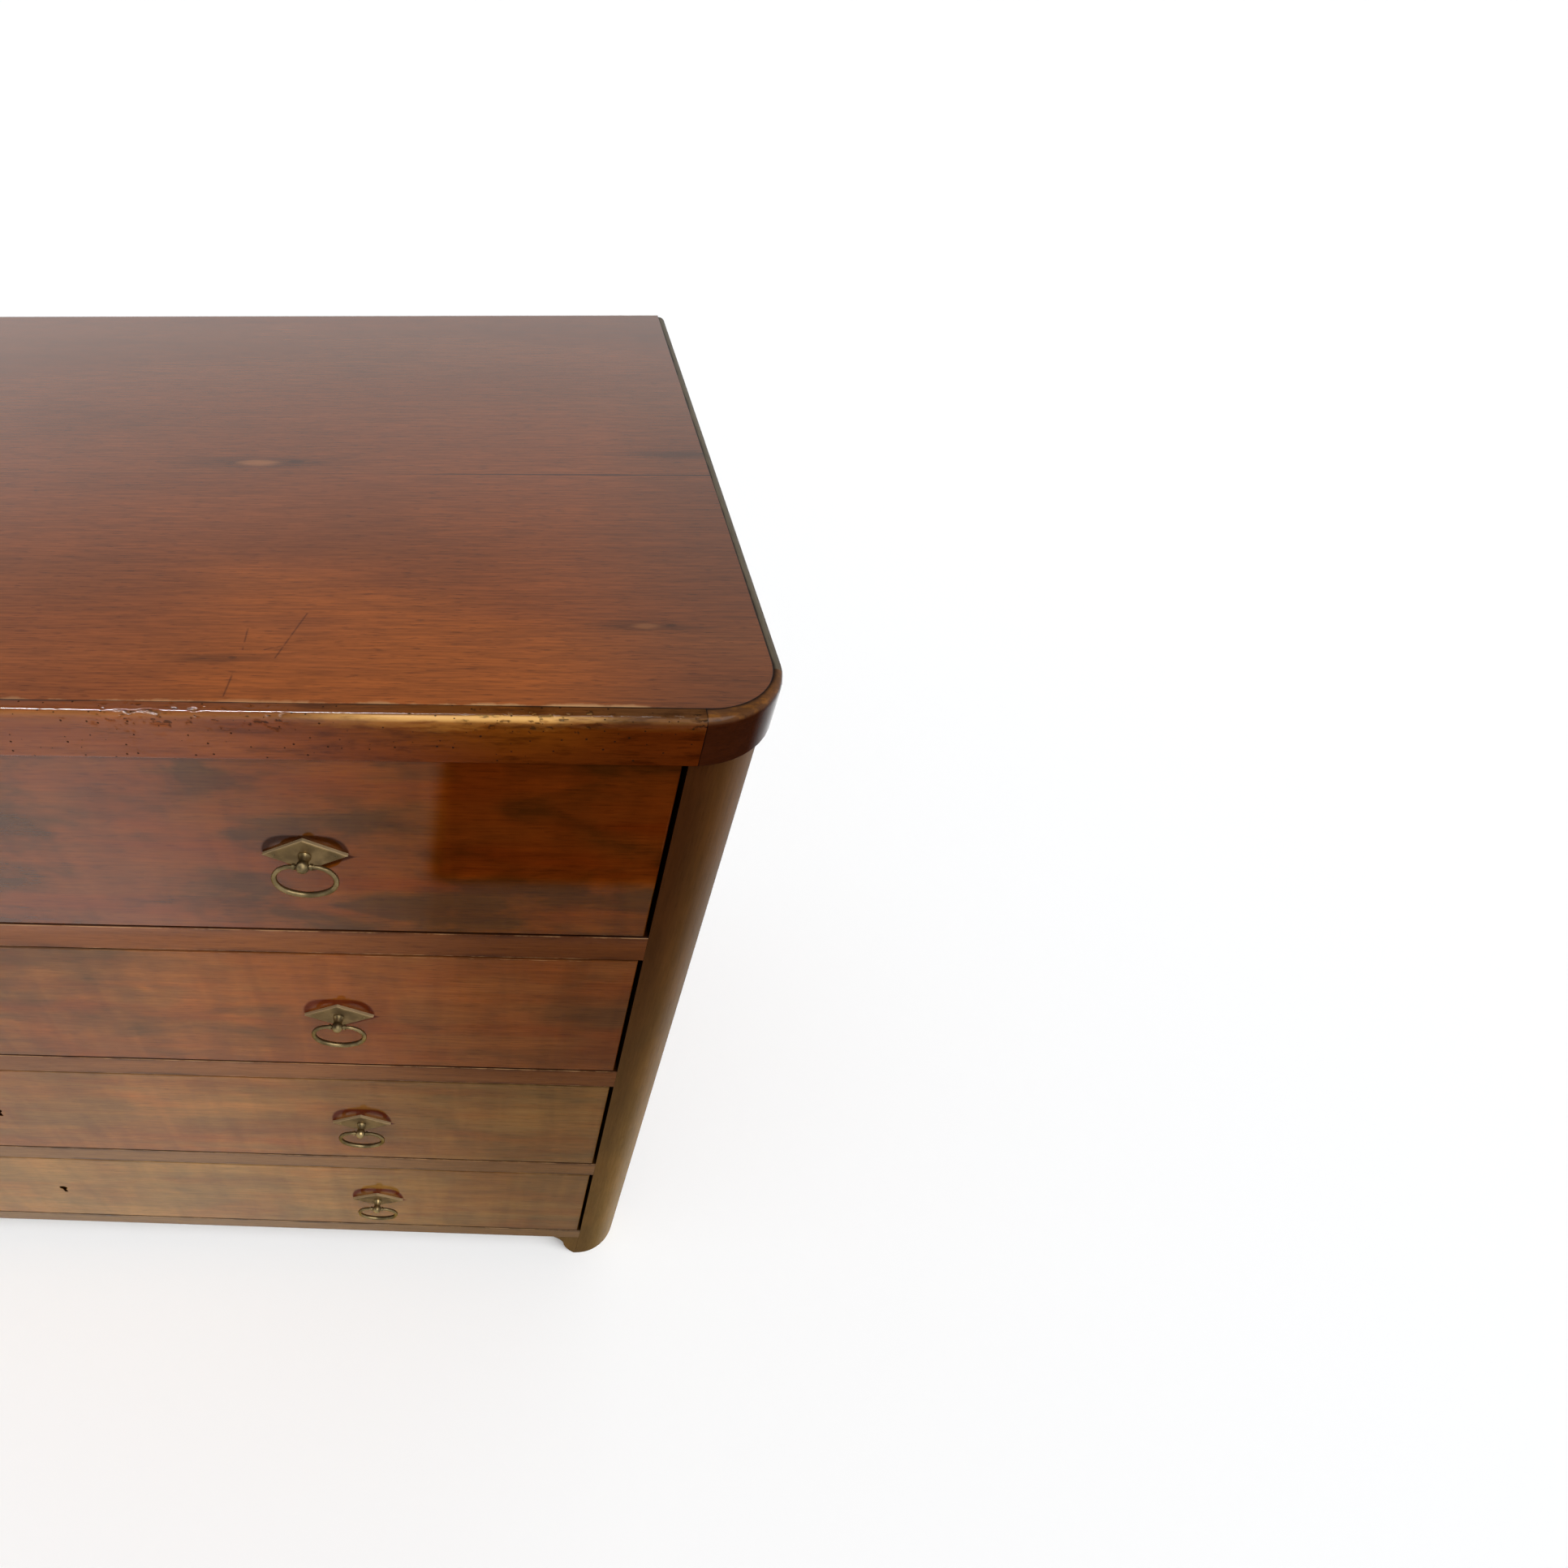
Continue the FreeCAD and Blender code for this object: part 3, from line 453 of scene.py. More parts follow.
def make_knot_group():
    """Small knot: a pale ragged core, and dark streaks that the grain draws out on both sides of it."""
    sockets = {"Position": "Vector", "Place": "Vector", "Length": "Float"}
    tree, sheet, given, result = new_group("knot", sockets, {"Core": "Float", "Streaks": "Float"})
    offset = sheet.vector("SUBTRACT", given["Position"], given["Place"])[0]
    offset = sheet.scaled(offset, sheet.math("DIVIDE", 1.0, given["Length"]))
    ragged = sheet.noise(sheet.stretched(given["Position"], (60.0, 420.0, 0.0)))
    core = sheet.length(offset, (1.0, 3.2, 0.0))
    core = sheet.line(ragged, 1.1, core)
    eye = sheet.vector("SUBTRACT", offset, (1.3, 0.1, 0.0))[0]
    eye = sheet.length(eye, (1.6, 4.0, 0.0))
    around = sheet.length(offset, (0.20, 1.2, 0.0))
    around = sheet.line(ragged, 1.0, around)
    dark = sheet.most(sheet.ramp(around, 1.45, 0.45, 0.0, 0.8), sheet.ramp(eye, 1.0, 0.2))
    sheet.put(result["Core"], sheet.ramp(core, 1.6, 0.8))
    sheet.put(result["Streaks"], dark)
    return tree


def make_scratch_group():
    """Scratch along a straight line between two points."""
    sockets = {"Position": "Vector", "Start": "Vector", "End": "Vector", "Width": "Float"}
    tree, sheet, given, result = new_group("scratch", sockets, {"Mask": "Float"})
    offset = sheet.vector("SUBTRACT", given["Position"], given["Start"])[0]
    run = sheet.vector("SUBTRACT", given["End"], given["Start"])[0]
    along = sheet.vector("DOT_PRODUCT", offset, run)["Value"]
    whole = sheet.vector("DOT_PRODUCT", run, run)["Value"]
    share = sheet.math("DIVIDE", along, whole, clamp=True)
    distance = sheet.vector("DISTANCE", offset, sheet.scaled(run, share))["Value"]
    breaks = sheet.noise(given["Position"], detail=2.0, scale=170.0)
    mask = sheet.ramp(distance, given["Width"], 0.0)
    sheet.put(result["Mask"], sheet.product(mask, sheet.ramp(breaks, 0.28, 0.52)))
    return tree


def make_worm_group():
    """Scattered worm holes on a surface that is rolled out flat in X and Y."""
    sockets = {"Position": "Vector", "Cell": "Float"}
    tree, sheet, given, result = new_group("worm holes", sockets, {"Mask": "Float"})
    scale = sheet.math("DIVIDE", 1.0, given["Cell"])
    inputs = {"Vector": given["Position"], "Scale": scale}
    cells = sheet.add("ShaderNodeTexVoronoi", inputs, voronoi_dimensions="2D").outputs
    chance = sheet.add("ShaderNodeSeparateColor", {0: cells["Color"]}).outputs
    radius = sheet.ramp(chance[1], 0.0, 1.0, 0.035, 0.085)
    hole = sheet.math("LESS_THAN", cells["Distance"], radius)
    sheet.put(result["Mask"], sheet.product(hole, sheet.math("GREATER_THAN", chance[0], 0.45)))
    return tree


GRAIN = make_grain_group()
SMOKE = make_smoke_group()
AGE_AND_SHADE = make_age_and_shade_group()
OUTLINE = make_outline_group()
ARRIS = make_arris_group()
KNOT = make_knot_group()
SCRATCH = make_scratch_group()
WORM = make_worm_group()


# Finishes
GRAIN_ALONG_Z = (0, math.radians(90), 0)
GRAIN_ALONG_Y = (0, 0, math.radians(90))


def new_material(name):
    material = bpy.data.materials.new(name)
    material.use_nodes = True
    shader = material.node_tree.nodes["Principled BSDF"]
    return material, Sheet(material.node_tree), shader


def placed(sheet, turn=(0, 0, 0), shift=(0, 0, 0)):
    """Object position, and the same turned so that the grain runs along X."""
    position = sheet.add("ShaderNodeTexCoord").outputs["Object"]
    mapping = sheet.add("ShaderNodeMapping", {"Vector": position, "Rotation": turn, "Location": shift})
    return position, mapping.outputs[0]


def grained(sheet, position, colours, streaks=0.1, fibres=0.12, pores=0.2):
    dark, middle, pale = colours
    inputs = {"Position": position, "Dark": dark, "Middle": middle, "Pale": pale}
    inputs.update({"Streaks": streaks, "Fibres": fibres, "Pores": pores})
    return sheet.use(GRAIN, inputs)


def bump(sheet, shader, height, strength, distance=0.2 * MM):
    """Relief of a surface."""
    node = sheet.add("ShaderNodeBump", {"Height": height, "Strength": strength, "Distance": distance})
    sheet.put(shader.inputs["Normal"], node.outputs[0])


def polish(sheet, shader, colour, height, coat, roughness=0.1, ior=1.5, strength=0.12):
    """Wood under shellac: a clear glossy coat, and the grain felt under it."""
    sheet.fill(shader, {"Base Color": colour, "Roughness": 0.5, "Specular IOR Level": 0.0})
    sheet.fill(shader, {"Coat Weight": coat, "Coat Roughness": roughness, "Coat IOR": ior})
    bump(sheet, shader, height, strength)


def smoked(sheet, along, colour, amount):
    """Colour under smoky patches of old stain."""
    return sheet.tint(sheet.use(SMOKE, {"Position": along, "Amount": amount})["Mask"], colour, SMOKE_TINT)


def board_rim(sheet, position):
    """Distance inside the rim of the top boards, whose rear edge is open."""
    low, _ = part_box("top_board_front")
    _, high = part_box("top_board_rear")
    beyond = 1.0
    centre = (0, (low.y + high.y + beyond) / 2, 0)
    half = (high.x, (high.y + beyond - low.y) / 2, 0)
    inputs = {"Position": position, "Centre": centre, "Half Size": half, "Corner": BOARD_CORNER}
    return sheet.use(OUTLINE, inputs)["Distance"]


def past_rim(sheet, position):
    """Distance outside the rim of the top boards."""
    return sheet.product(board_rim(sheet, position), -1.0)


def joint_dirt(sheet, position, distance, width):
    """Dark line in a joint, wider in some places than in others."""
    uneven = sheet.ramp(sheet.noise(position, scale=24.0), 0.30, 0.70, 0.35, 1.6)
    return sheet.ramp(distance, sheet.product(uneven, width), 0.0)


def dirtied(sheet, position, colour, distance, width):
    """Colour with the dirt of a joint on it."""
    return sheet.tint(joint_dirt(sheet, position, distance, width), colour, GRIME_AND_SHADE_TINT)


def worn_arris_and_gap_shade(sheet, position, distance, width, behind):
    """Worn line and grime at a distance from an arris on the face, and painted shade in the gap behind
    it.
    """
    inputs = {"Position": position, "Distance": distance, "Width": width, "Behind": behind}
    return sheet.use(ARRIS, inputs)


def plain_polished(name, colours, turn=(0, 0, 0), smoke=0.4, coat=0.4):
    """Polished wood with grain and smoky patches, paler towards the floor."""
    material, sheet, shader = new_material(name)
    position, along = placed(sheet, turn)
    wood = grained(sheet, along, colours)
    faded = sheet.use(AGE_AND_SHADE, {"Position": position})["Faded"]
    colour = sheet.mix(sheet.product(faded, 0.8), wood["Color"], sheet.shaded(FADED_COLOUR, wood))
    polish(sheet, shader, smoked(sheet, along, colour, smoke), wood["Height"], coat)
    return material


def top_finish():
    """Two boards, warmer where the front is worn, with knots, scratches and dirt in their joints."""
    low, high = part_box("top_board_front")
    material, sheet, shader = new_material("top boards")
    position, _ = placed(sheet)
    x, y, _ = sheet.axes(position)
    out = sheet.size(x)
    rear = sheet.math("GREATER_THAN", y, high.y)
    along = sheet.vector("ADD", position, sheet.joined(sheet.product(rear, REAR_BOARD_SHIFT)))[0]
    wood = grained(sheet, along, TOP_COLOURS, streaks=0.06, fibres=0.2, pores=0.35)
    colour = wood["Color"]

    clouds = sheet.noise(sheet.stretched(position, (3.5, 9.0, 9.0)))
    reach = sheet.line(clouds, 0.40, low.y - 0.11)
    warm = sheet.ramp(sheet.minus(y, reach), 0.035, -0.035)
    glow = sheet.shaded(GLOW_COLOUR, wood)
    hump = sheet.product(sheet.ramp(out, *GLOW_START), sheet.ramp(out, *GLOW_END))
    warm = sheet.product(warm, sheet.ramp(hump, 0.0, 1.0, 0.15, 0.75))
    colour = sheet.mix(warm, colour, glow)
    shade = sheet.noise(sheet.stretched(along, (3.4, 9.5, 9.5)), detail=4.0)
    colour = sheet.tint(sheet.ramp(shade, 0.44, 0.70, 0.0, 0.4), colour, SHADE_TINT)
    depth = sheet.ramp(y, low.y + 0.05, -low.y, 0.0, 0.78)
    depth = sheet.most(depth, sheet.ramp(out, 0.45, 0.58, 0.0, 0.9))
    colour = sheet.tint(depth, colour, SHADE_TINT)
    for (across, behind), length, pale in KNOTS:
        inputs = {"Position": position, "Place": (across, low.y + behind, high.z), "Length": length}
        knot = sheet.use(KNOT, inputs)
        colour = sheet.tint(sheet.product(knot["Streaks"], 0.9), colour, KNOT_TINT)
        colour = sheet.mix(sheet.product(knot["Core"], pale), colour, KNOT_COLOUR)
    for start, end in SCRATCHES:
        inputs = {"Position": position, "Width": SCRATCH_WIDTH}
        inputs["Start"] = (start[0], low.y + start[1], high.z)
        inputs["End"] = (end[0], low.y + end[1], high.z)
        mark = sheet.use(SCRATCH, inputs)["Mask"]
        colour = sheet.tint(sheet.product(mark, 0.6), colour, GRIME_AND_SHADE_TINT)

    rim = board_rim(sheet, position)
    worn = worn_arris_and_gap_shade(sheet, position, rim, TOP_ARRIS, 0.0)["Rubbed And Glint"]
    front = sheet.ramp(y, low.y + 12 * MM, low.y + 2 * MM)
    bare = sheet.product(front, sheet.ramp(out, 0.30, 0.48, 0.6, 0.95), sheet.ramp(out, 0.535, 0.505))
    colour = sheet.mix(sheet.product(worn, bare), colour, BARE_AND_GLINT_COLOUR)
    colour = dirtied(sheet, position, colour, rim, BOARD_JOINT)
    seam = sheet.size(sheet.minus(y, high.y))
    seen = sheet.ramp(out, 0.3, 0.5, 0.25, 1.0)
    line = sheet.product(sheet.ramp(seam, 1.0 * MM, 0.3 * MM), seen)
    colour = sheet.tint(line, colour, GRIME_AND_SHADE_TINT)
    dull = sheet.ramp(out, 0.42, 0.56, 0.6, 1.0)
    polish(sheet, shader, colour, wood["Height"], sheet.ramp(y, low.y, 0.0, dull, 1.0), 0.12)
    return material


def edge_finish():
    """Front moulding: rubbed to gold on its round, partly as a painted highlight, with painted shade
    towards its ends, dirt in its chips, riddled with worm holes.
    """
    _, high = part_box("top_edge_front")
    material, sheet, shader = new_material("edge moulding")
    position, along = placed(sheet, shift=(MOULDING_SHIFT, 0, 0))
    x, y, z = sheet.axes(position)
    out = sheet.size(x)
    wood = grained(sheet, along, EDGE_COLOURS)
    # Painted shade towards the ends of the moulding
    colour = sheet.tint(sheet.ramp(out, 0.22, 0.50), wood["Color"], END_SHADE_AND_MOTTLE_TINT)

    upper = sheet.ramp(z, high.z - 7 * MM, high.z - 4 * MM)
    crown = sheet.ramp(z, high.z - 1.1 * MM, high.z - 0.5 * MM)
    crest = sheet.mix(sheet.ramp(out, 0.25, 0.45), TOP_COLOURS[0], BLOCK_TOP)
    colour = sheet.mix(crown, colour, sheet.shaded(crest, wood))
    patches = sheet.noise(sheet.stretched(position, (20.0, 120.0, 120.0)), detail=5.0, roughness=0.65)
    level = sheet.line(sheet.minus(patches, 0.5), 24 * MM, z)
    gold = sheet.ramp(level, high.z - 9 * MM, high.z - 3 * MM)
    zone = sheet.product(sheet.ramp(out, *GOLD_START), sheet.ramp(out, *GOLD_END))
    amber = sheet.product(zone, sheet.ramp(z, high.z - 30 * MM, high.z - 6 * MM, 0.1, 0.6))
    colour = sheet.mix(amber, colour, sheet.shaded(AMBER_COLOUR, wood))
    zone = sheet.ramp(zone, 0.0, 1.0, 0.12, 0.85)
    gold = sheet.product(gold, sheet.rest(crown), zone)
    # Gold on the upper round: partly rubbed wood, partly a painted highlight
    gilt_and_highlight = sheet.mix(sheet.ramp(z, high.z - 4 * MM, high.z - 1.6 * MM), RUBBED_COLOUR, GILT_AND_HIGHLIGHT_COLOUR)
    colour = sheet.mix(gold, colour, gilt_and_highlight)
    mottles = sheet.noise(sheet.stretched(position, (30.0, 130.0, 130.0)), detail=4.0, roughness=0.65)
    mottled = sheet.product(sheet.ramp(mottles, 0.46, 0.66), sheet.ramp(out, 0.22, 0.40, 0.15, 0.8))
    colour = sheet.tint(mottled, colour, END_SHADE_AND_MOTTLE_TINT)
    chips = sheet.add("ShaderNodeAttribute", attribute_name="chips").outputs["Fac"]
    cracks = sheet.noise(sheet.stretched(position, (90.0, 420.0, 420.0)), detail=4.0)
    flaked = sheet.ramp(chips, 0.0, 0.2)
    chips = sheet.product(sheet.ramp(chips, 0.05, 0.5), sheet.ramp(cracks, 0.44, 0.55))
    rolled = sheet.joined(x, sheet.math("ADD", y, z))
    holes = sheet.use(WORM, {"Position": rolled, "Cell": WORM_CELL})["Mask"]
    seam = joint_dirt(sheet, position, past_rim(sheet, position), MOULDING_JOINT)
    dark = sheet.most(sheet.product(chips, 0.75), sheet.most(holes, seam))
    colour = sheet.mix(sheet.product(dark, 0.85), colour, DIRT_COLOUR)
    glossy = sheet.ramp(out, 0.20, 0.46, 1.0, 0.0)
    round_coat = sheet.product(upper, sheet.ramp(out, 0.30, 0.44, 0.9, 0.1))
    coat = sheet.most(glossy, round_coat)
    coat = sheet.product(coat, sheet.ramp(crown, 0.0, 1.0, 1.0, 0.85))
    coat = sheet.product(coat, sheet.ramp(flaked, 0.0, 1.0, 1.0, 0.45), sheet.rest(holes))
    height = sheet.minus(wood["Height"], sheet.product(dark, 2.0))
    polish(sheet, shader, colour, height, coat, 0.08, strength=0.3)
    return material


def shares(count):
    """Equal steps from none to one, without the last."""
    return [step / count for step in range(count)]


def moulding_outline(low, high):
    """Outline of the front moulding's end: points with the way inwards and how much each is worn."""
    points = []

    def add(y, z, inward, worn):
        points.append((y, z, Vector((0, *inward)), worn))

    for share in shares(TOP_STEPS):
        add(high.y + (low.y + ROUND - high.y) * share, high.z, (0, -1), share)
    for share in shares(ROUND_STEPS):
        turn = math.radians(90) * share
        y = low.y + ROUND - ROUND * math.sin(turn)
        z = high.z - ROUND + ROUND * math.cos(turn)
        add(y, z, (math.sin(turn), -math.cos(turn)), 1.0)
    face_top = high.z - ROUND
    face_low = low.z + LOWER_ROUND
    for share in shares(FACE_STEPS):
        z = face_top + (face_low - face_top) * share
        add(low.y, z, (1, 0), max(0.1, 1.0 - (face_top - z) / WORN_REACH))
    for share in [*shares(LOWER_STEPS), 1.0]:
        turn = math.radians(90) * share
        y = low.y + LOWER_ROUND - LOWER_ROUND * math.cos(turn)
        add(y, low.z + LOWER_ROUND - LOWER_ROUND * math.sin(turn), (math.cos(turn), math.sin(turn)), 0.1)
    add(high.y, low.z, (0, 1), 0.0)
    return points


def smooth_step(value, low, high):
    share = min(1.0, max(0.0, (value - low) / (high - low)))
    return share * share * (3 - 2 * share)


def chip_share(x, y, z):
    """How far a point of the moulding lies in a chip, from none to one."""
    nearest = max(1.0 - abs(abs(x) - place) / half for place, half in CHIPPED)
    scattered = noise.noise(Vector((x * 14, 4.7, 1.3)))
    cluster = max(smooth_step(nearest, 0.0, 0.6), smooth_step(scattered, 0.25, 0.5))
    flakes = noise.fractal(Vector((x * 170, y * 420, z * 420)), 0.7, 2.0, 4)
    return cluster * smooth_step(flakes, 0.36, 0.56)


def make_moulding():
    """Front moulding with a wavy, chipped round, in the place of its plain solid."""
    low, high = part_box("top_edge_front")
    outline = moulding_outline(low, high)
    count = round((high.x - low.x) / MOULDING_STEP)
    mesh = bmesh.new()
    chips = mesh.verts.layers.float.new("chips")
    rows = []
    for index in range(count + 1):
        x = low.x + (high.x - low.x) * index / count
        row = []
        for y, z, inward, worn in outline:
            place = Vector((x, y, z))
            wave = noise.fractal(Vector((x * 24, y * 30, z * 30)), 0.9, 2.0, 2)
            chip = chip_share(x, y, z) * worn
            depth = worn * WORN_DEPTH * smooth_step(wave, -0.6, 0.8) + chip * CHIP_DEPTH
            vertex = mesh.verts.new(place + inward * depth)
            vertex[chips] = chip
            row.append(vertex)
        rows.append(row)
    for row, following in zip(rows, rows[1:]):
        for index in range(len(outline)):
            near = (index + 1) % len(outline)
            mesh.faces.new((row[index], row[near], following[near], following[index])).smooth = True
        for corner in (0, len(outline) - 1):
            mesh.edges.get((row[corner], following[corner])).smooth = False
    for cap in (rows[0], rows[-1]):
        for edge in mesh.faces.new(cap).edges:
            edge.smooth = False
    bmesh.ops.recalc_face_normals(mesh, faces=mesh.faces)
    plain = bpy.data.meshes.new("front_moulding")
    mesh.to_mesh(plain)
    mesh.free()
    plain.materials.append(edge_finish())
    piece = add_object("front_moulding", plain)
    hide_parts("top_edge_front")
    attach(piece, "carcase")


def strip_finish():
    """Side strips of the moulding: grey on top as a painted sheen, dirty along the boards, dark on their
    outer faces.
    """
    material, sheet, shader = new_material("side strips")
    position, along = placed(sheet, GRAIN_ALONG_Y)
    wood = grained(sheet, along, STRIP_SHEEN_COLOURS)
    outside = past_rim(sheet, position)
    outer = sheet.ramp(outside, 3.0 * MM, 5.0 * MM)
    colour = sheet.mix(outer, wood["Color"], sheet.shaded(STRIP_FACE, wood))
    colour = dirtied(sheet, position, colour, outside, STRIP_JOINT)
    polish(sheet, shader, colour, wood["Height"], 0.25, 0.2)
    return material


def block_finish():
    """Corner blocks of the moulding: brown above, nearly black on their faces, glossy at the sides."""
    _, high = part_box("top_corner_blocks")
    material, sheet, shader = new_material("corner blocks")
    position, along = placed(sheet)
    x, _, z = sheet.axes(position)
    out = sheet.size(x)
    wood = grained(sheet, along, EDGE_COLOURS)
    crown = sheet.ramp(z, high.z - 4 * MM, high.z - 1 * MM)
    worn = sheet.noise(sheet.stretched(position, (90.0, 220.0, 220.0)), detail=5.0, roughness=0.65)
    worn = sheet.ramp(worn, 0.46, 0.66, 0.0, 0.45)
    crest = sheet.mix(worn, BLOCK_TOP, RUBBED_COLOUR)
    colour = sheet.shaded(sheet.mix(crown, BLOCK_FACE, crest), wood)
    joint = sheet.minus(out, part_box("top_edge_front")[1].x)
    colour = dirtied(sheet, position, colour, joint, BLOCK_END_JOINT)
    colour = dirtied(sheet, position, colour, past_rim(sheet, position), BLOCK_JOINT)
    side = sheet.ramp(out, high.x - 20 * MM, high.x - 2 * MM, 0.02, 1.0)
    coat = sheet.line(crown, 0.25, sheet.product(side, sheet.rest(crown)))
    polish(sheet, shader, colour, wood["Height"], coat, 0.12)
    return material


def paint_pull_reflection_and_shadow(sheet, number, out, z):
    """Painted reflection of the ring and post above the plates of the pulls, and painted shadow under
    their edge.
    """
    low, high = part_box(f"pull_plates_{number}")
    ring_low, ring_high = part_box(f"ring_{number}_right")
    middle = (ring_low.x + ring_high.x) / 2
    half_width = high.x - middle
    half_height = (high.z - low.z) / 2
    across = sheet.minus(out, middle)
    rise = sheet.minus(z, (low.z + high.z) / 2)
    # Painted reflection of the ring and post above the plate
    wide = sheet.math("POWER", sheet.size(sheet.math("DIVIDE", across, half_width)), 4.0)
    tall = sheet.math("POWER", sheet.math("DIVIDE", rise, half_height + PULL_REFLECTION_RISES[number - 1]), 2.0)
    reach = sheet.math("SQRT", sheet.math("ADD", wide, tall))
    inner = sheet.ramp(reach, 0.6, 0.85, 0.55, 1.0)
    inner = sheet.most(inner, sheet.ramp(sheet.size(across), 6 * MM, 3 * MM))
    above = sheet.product(sheet.ramp(reach, 1.12, 0.95), inner)
    above = sheet.product(above, sheet.math("GREATER_THAN", rise, 0.0))
    # Painted shadow under the plate's lower edges, set down and aside
    aside = sheet.size(sheet.minus(across, PLATE_SHADOW_DROP))
    under = sheet.size(sheet.math("ADD", rise, PLATE_SHADOW_DROP))
    under = sheet.line(aside, 1 / half_width, sheet.math("DIVIDE", under, half_height))
    return sheet.most(above, sheet.ramp(under, 1.12, 0.95))


def front_finish(number, middle, ends, smoke):
    """Figured drawer front, with painted shade towards its ends, worn arrises, and painted shade in its
    keyhole.
    """
    low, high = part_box(f"drawer_{number}_front")
    material, sheet, shader = new_material(f"drawer front {number}")
    position, along = placed(sheet, shift=(DRAWER_SHIFT * number, 0, 0))
    x, y, z = sheet.axes(position)
    out = sheet.size(x)
    age_and_shade = sheet.use(AGE_AND_SHADE, {"Position": position})
    # Darker colour towards the ends: painted shade
    plain = sheet.mix(age_and_shade["End"], middle, ends)
    colours = (sheet.scaled(plain, 0.80), plain, sheet.scaled(plain, 1.20))
    wood = grained(sheet, along, colours)
    bands = sheet.noise(sheet.stretched(along, (4.0, 45.0, 45.0)))
    colour = sheet.tint(sheet.ramp(bands, 0.45, 0.65, 0.0, 0.6), wood["Color"], RED_TINT)
    patches = sheet.noise(sheet.stretched(along, (9.0, 15.0, 15.0)), distortion=0.5)
    colour = sheet.tint(sheet.ramp(patches, 0.42, 0.64, 0.0, 0.7), colour, RED_TINT)
    ripple = sheet.noise(sheet.stretched(along, (40.0, 0.0, 7.0)), detail=2.0, distortion=0.5)
    colour = sheet.scaled(colour, sheet.about_one(ripple, 0.10))
    # Painted shade over the dull patch
    colour = sheet.tint(age_and_shade["Dull Shade"], colour, DULL_PATCH_SHADE_TINT)
    colour = smoked(sheet, along, colour, smoke)
    # Painted reflection of the ring and post above the plates, and painted shadow under them
    reflection_and_shadow = paint_pull_reflection_and_shadow(sheet, number, out, z)
    colour = sheet.tint(reflection_and_shadow, colour, PULL_REFLECTION_AND_SHADOW_TINTS[number - 1])

    end_distance = sheet.minus(high.x, out)
    distance = sheet.math("MINIMUM", end_distance, sheet.nearest(z, (low.z, high.z)))
    behind = sheet.minus(y, low.y)
    edge = worn_arris_and_gap_shade(sheet, position, distance, FRONT_ARRIS, behind)
    # Darkening: grime beside the arrises, and painted shade in the gaps behind them
    colour = sheet.tint(sheet.product(edge["Grime And Shade"], 0.4), colour, GRIME_AND_SHADE_TINT)
    rubbed = sheet.product(edge["Rubbed And Glint"], sheet.ramp(end_distance, 0.0, 4 * MM), 0.5)
    colour = sheet.mix(rubbed, colour, BARE_AND_GLINT_COLOUR)
    # Painted shade in the keyhole
    inside = sheet.math("GREATER_THAN", behind, 0.3 * MM)
    central = sheet.math("LESS_THAN", out, KEYHOLE_REACH)
    keyhole = sheet.product(inside, central, sheet.math("GREATER_THAN", distance, KEYHOLE_INSET))
    colour = sheet.tint(keyhole, colour, GRIME_AND_SHADE_TINT)
    coat = sheet.product(age_and_shade["Coat"], sheet.ramp(reflection_and_shadow, 0.35, 1.0, 1.0, 0.35))
    polish(sheet, shader, colour, wood["Height"], coat, 0.07, 1.8)
    return material


def rail_finish():
    """Rails between the drawers, with painted shade towards their ends, and a pale line along their worn
    arrises that is partly a painted highlight.
    """
    fronts = [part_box(f"drawer_{number}_front") for number in DRAWERS]
    levels = [low.z - DRAWER_GAP for low, _ in fronts] + [high.z + DRAWER_GAP for _, high in fronts]
    material, sheet, shader = new_material("rails")
    position, along = placed(sheet, shift=(RAIL_SHIFT, 0, 0))
    wood = grained(sheet, along, RAIL_COLOURS)
    age_and_shade = sheet.use(AGE_AND_SHADE, {"Position": position})
    colour = sheet.mix(age_and_shade["Faded"], wood["Color"], sheet.shaded(FADED_COLOUR, wood))
    x, y, z = sheet.axes(position)
    # Painted shade towards the ends
    ends = sheet.ramp(sheet.size(x), 0.27, 0.46)
    ends = sheet.product(ends, sheet.ramp(age_and_shade["Faded"], 0.0, 1.0, 1.0, 0.45))
    colour = sheet.tint(ends, colour, END_SHADE_AND_MOTTLE_TINT)
    behind = sheet.minus(y, FRONT_Y)
    edge = worn_arris_and_gap_shade(sheet, position, sheet.nearest(z, levels), RAIL_ARRIS, behind)
    # Darkening: grime beside the arrises, and painted shade in the gaps behind them
    colour = sheet.tint(sheet.product(edge["Grime And Shade"], 0.85), colour, GRIME_AND_SHADE_TINT)
    # Pale line along the arrises: partly wear, partly a painted highlight
    colour = sheet.mix(sheet.product(edge["Rubbed And Glint"], 0.7), colour, BARE_AND_GLINT_COLOUR)
    polish(sheet, shader, colour, wood["Height"], age_and_shade["Coat"], 0.09, 1.6)
    return material


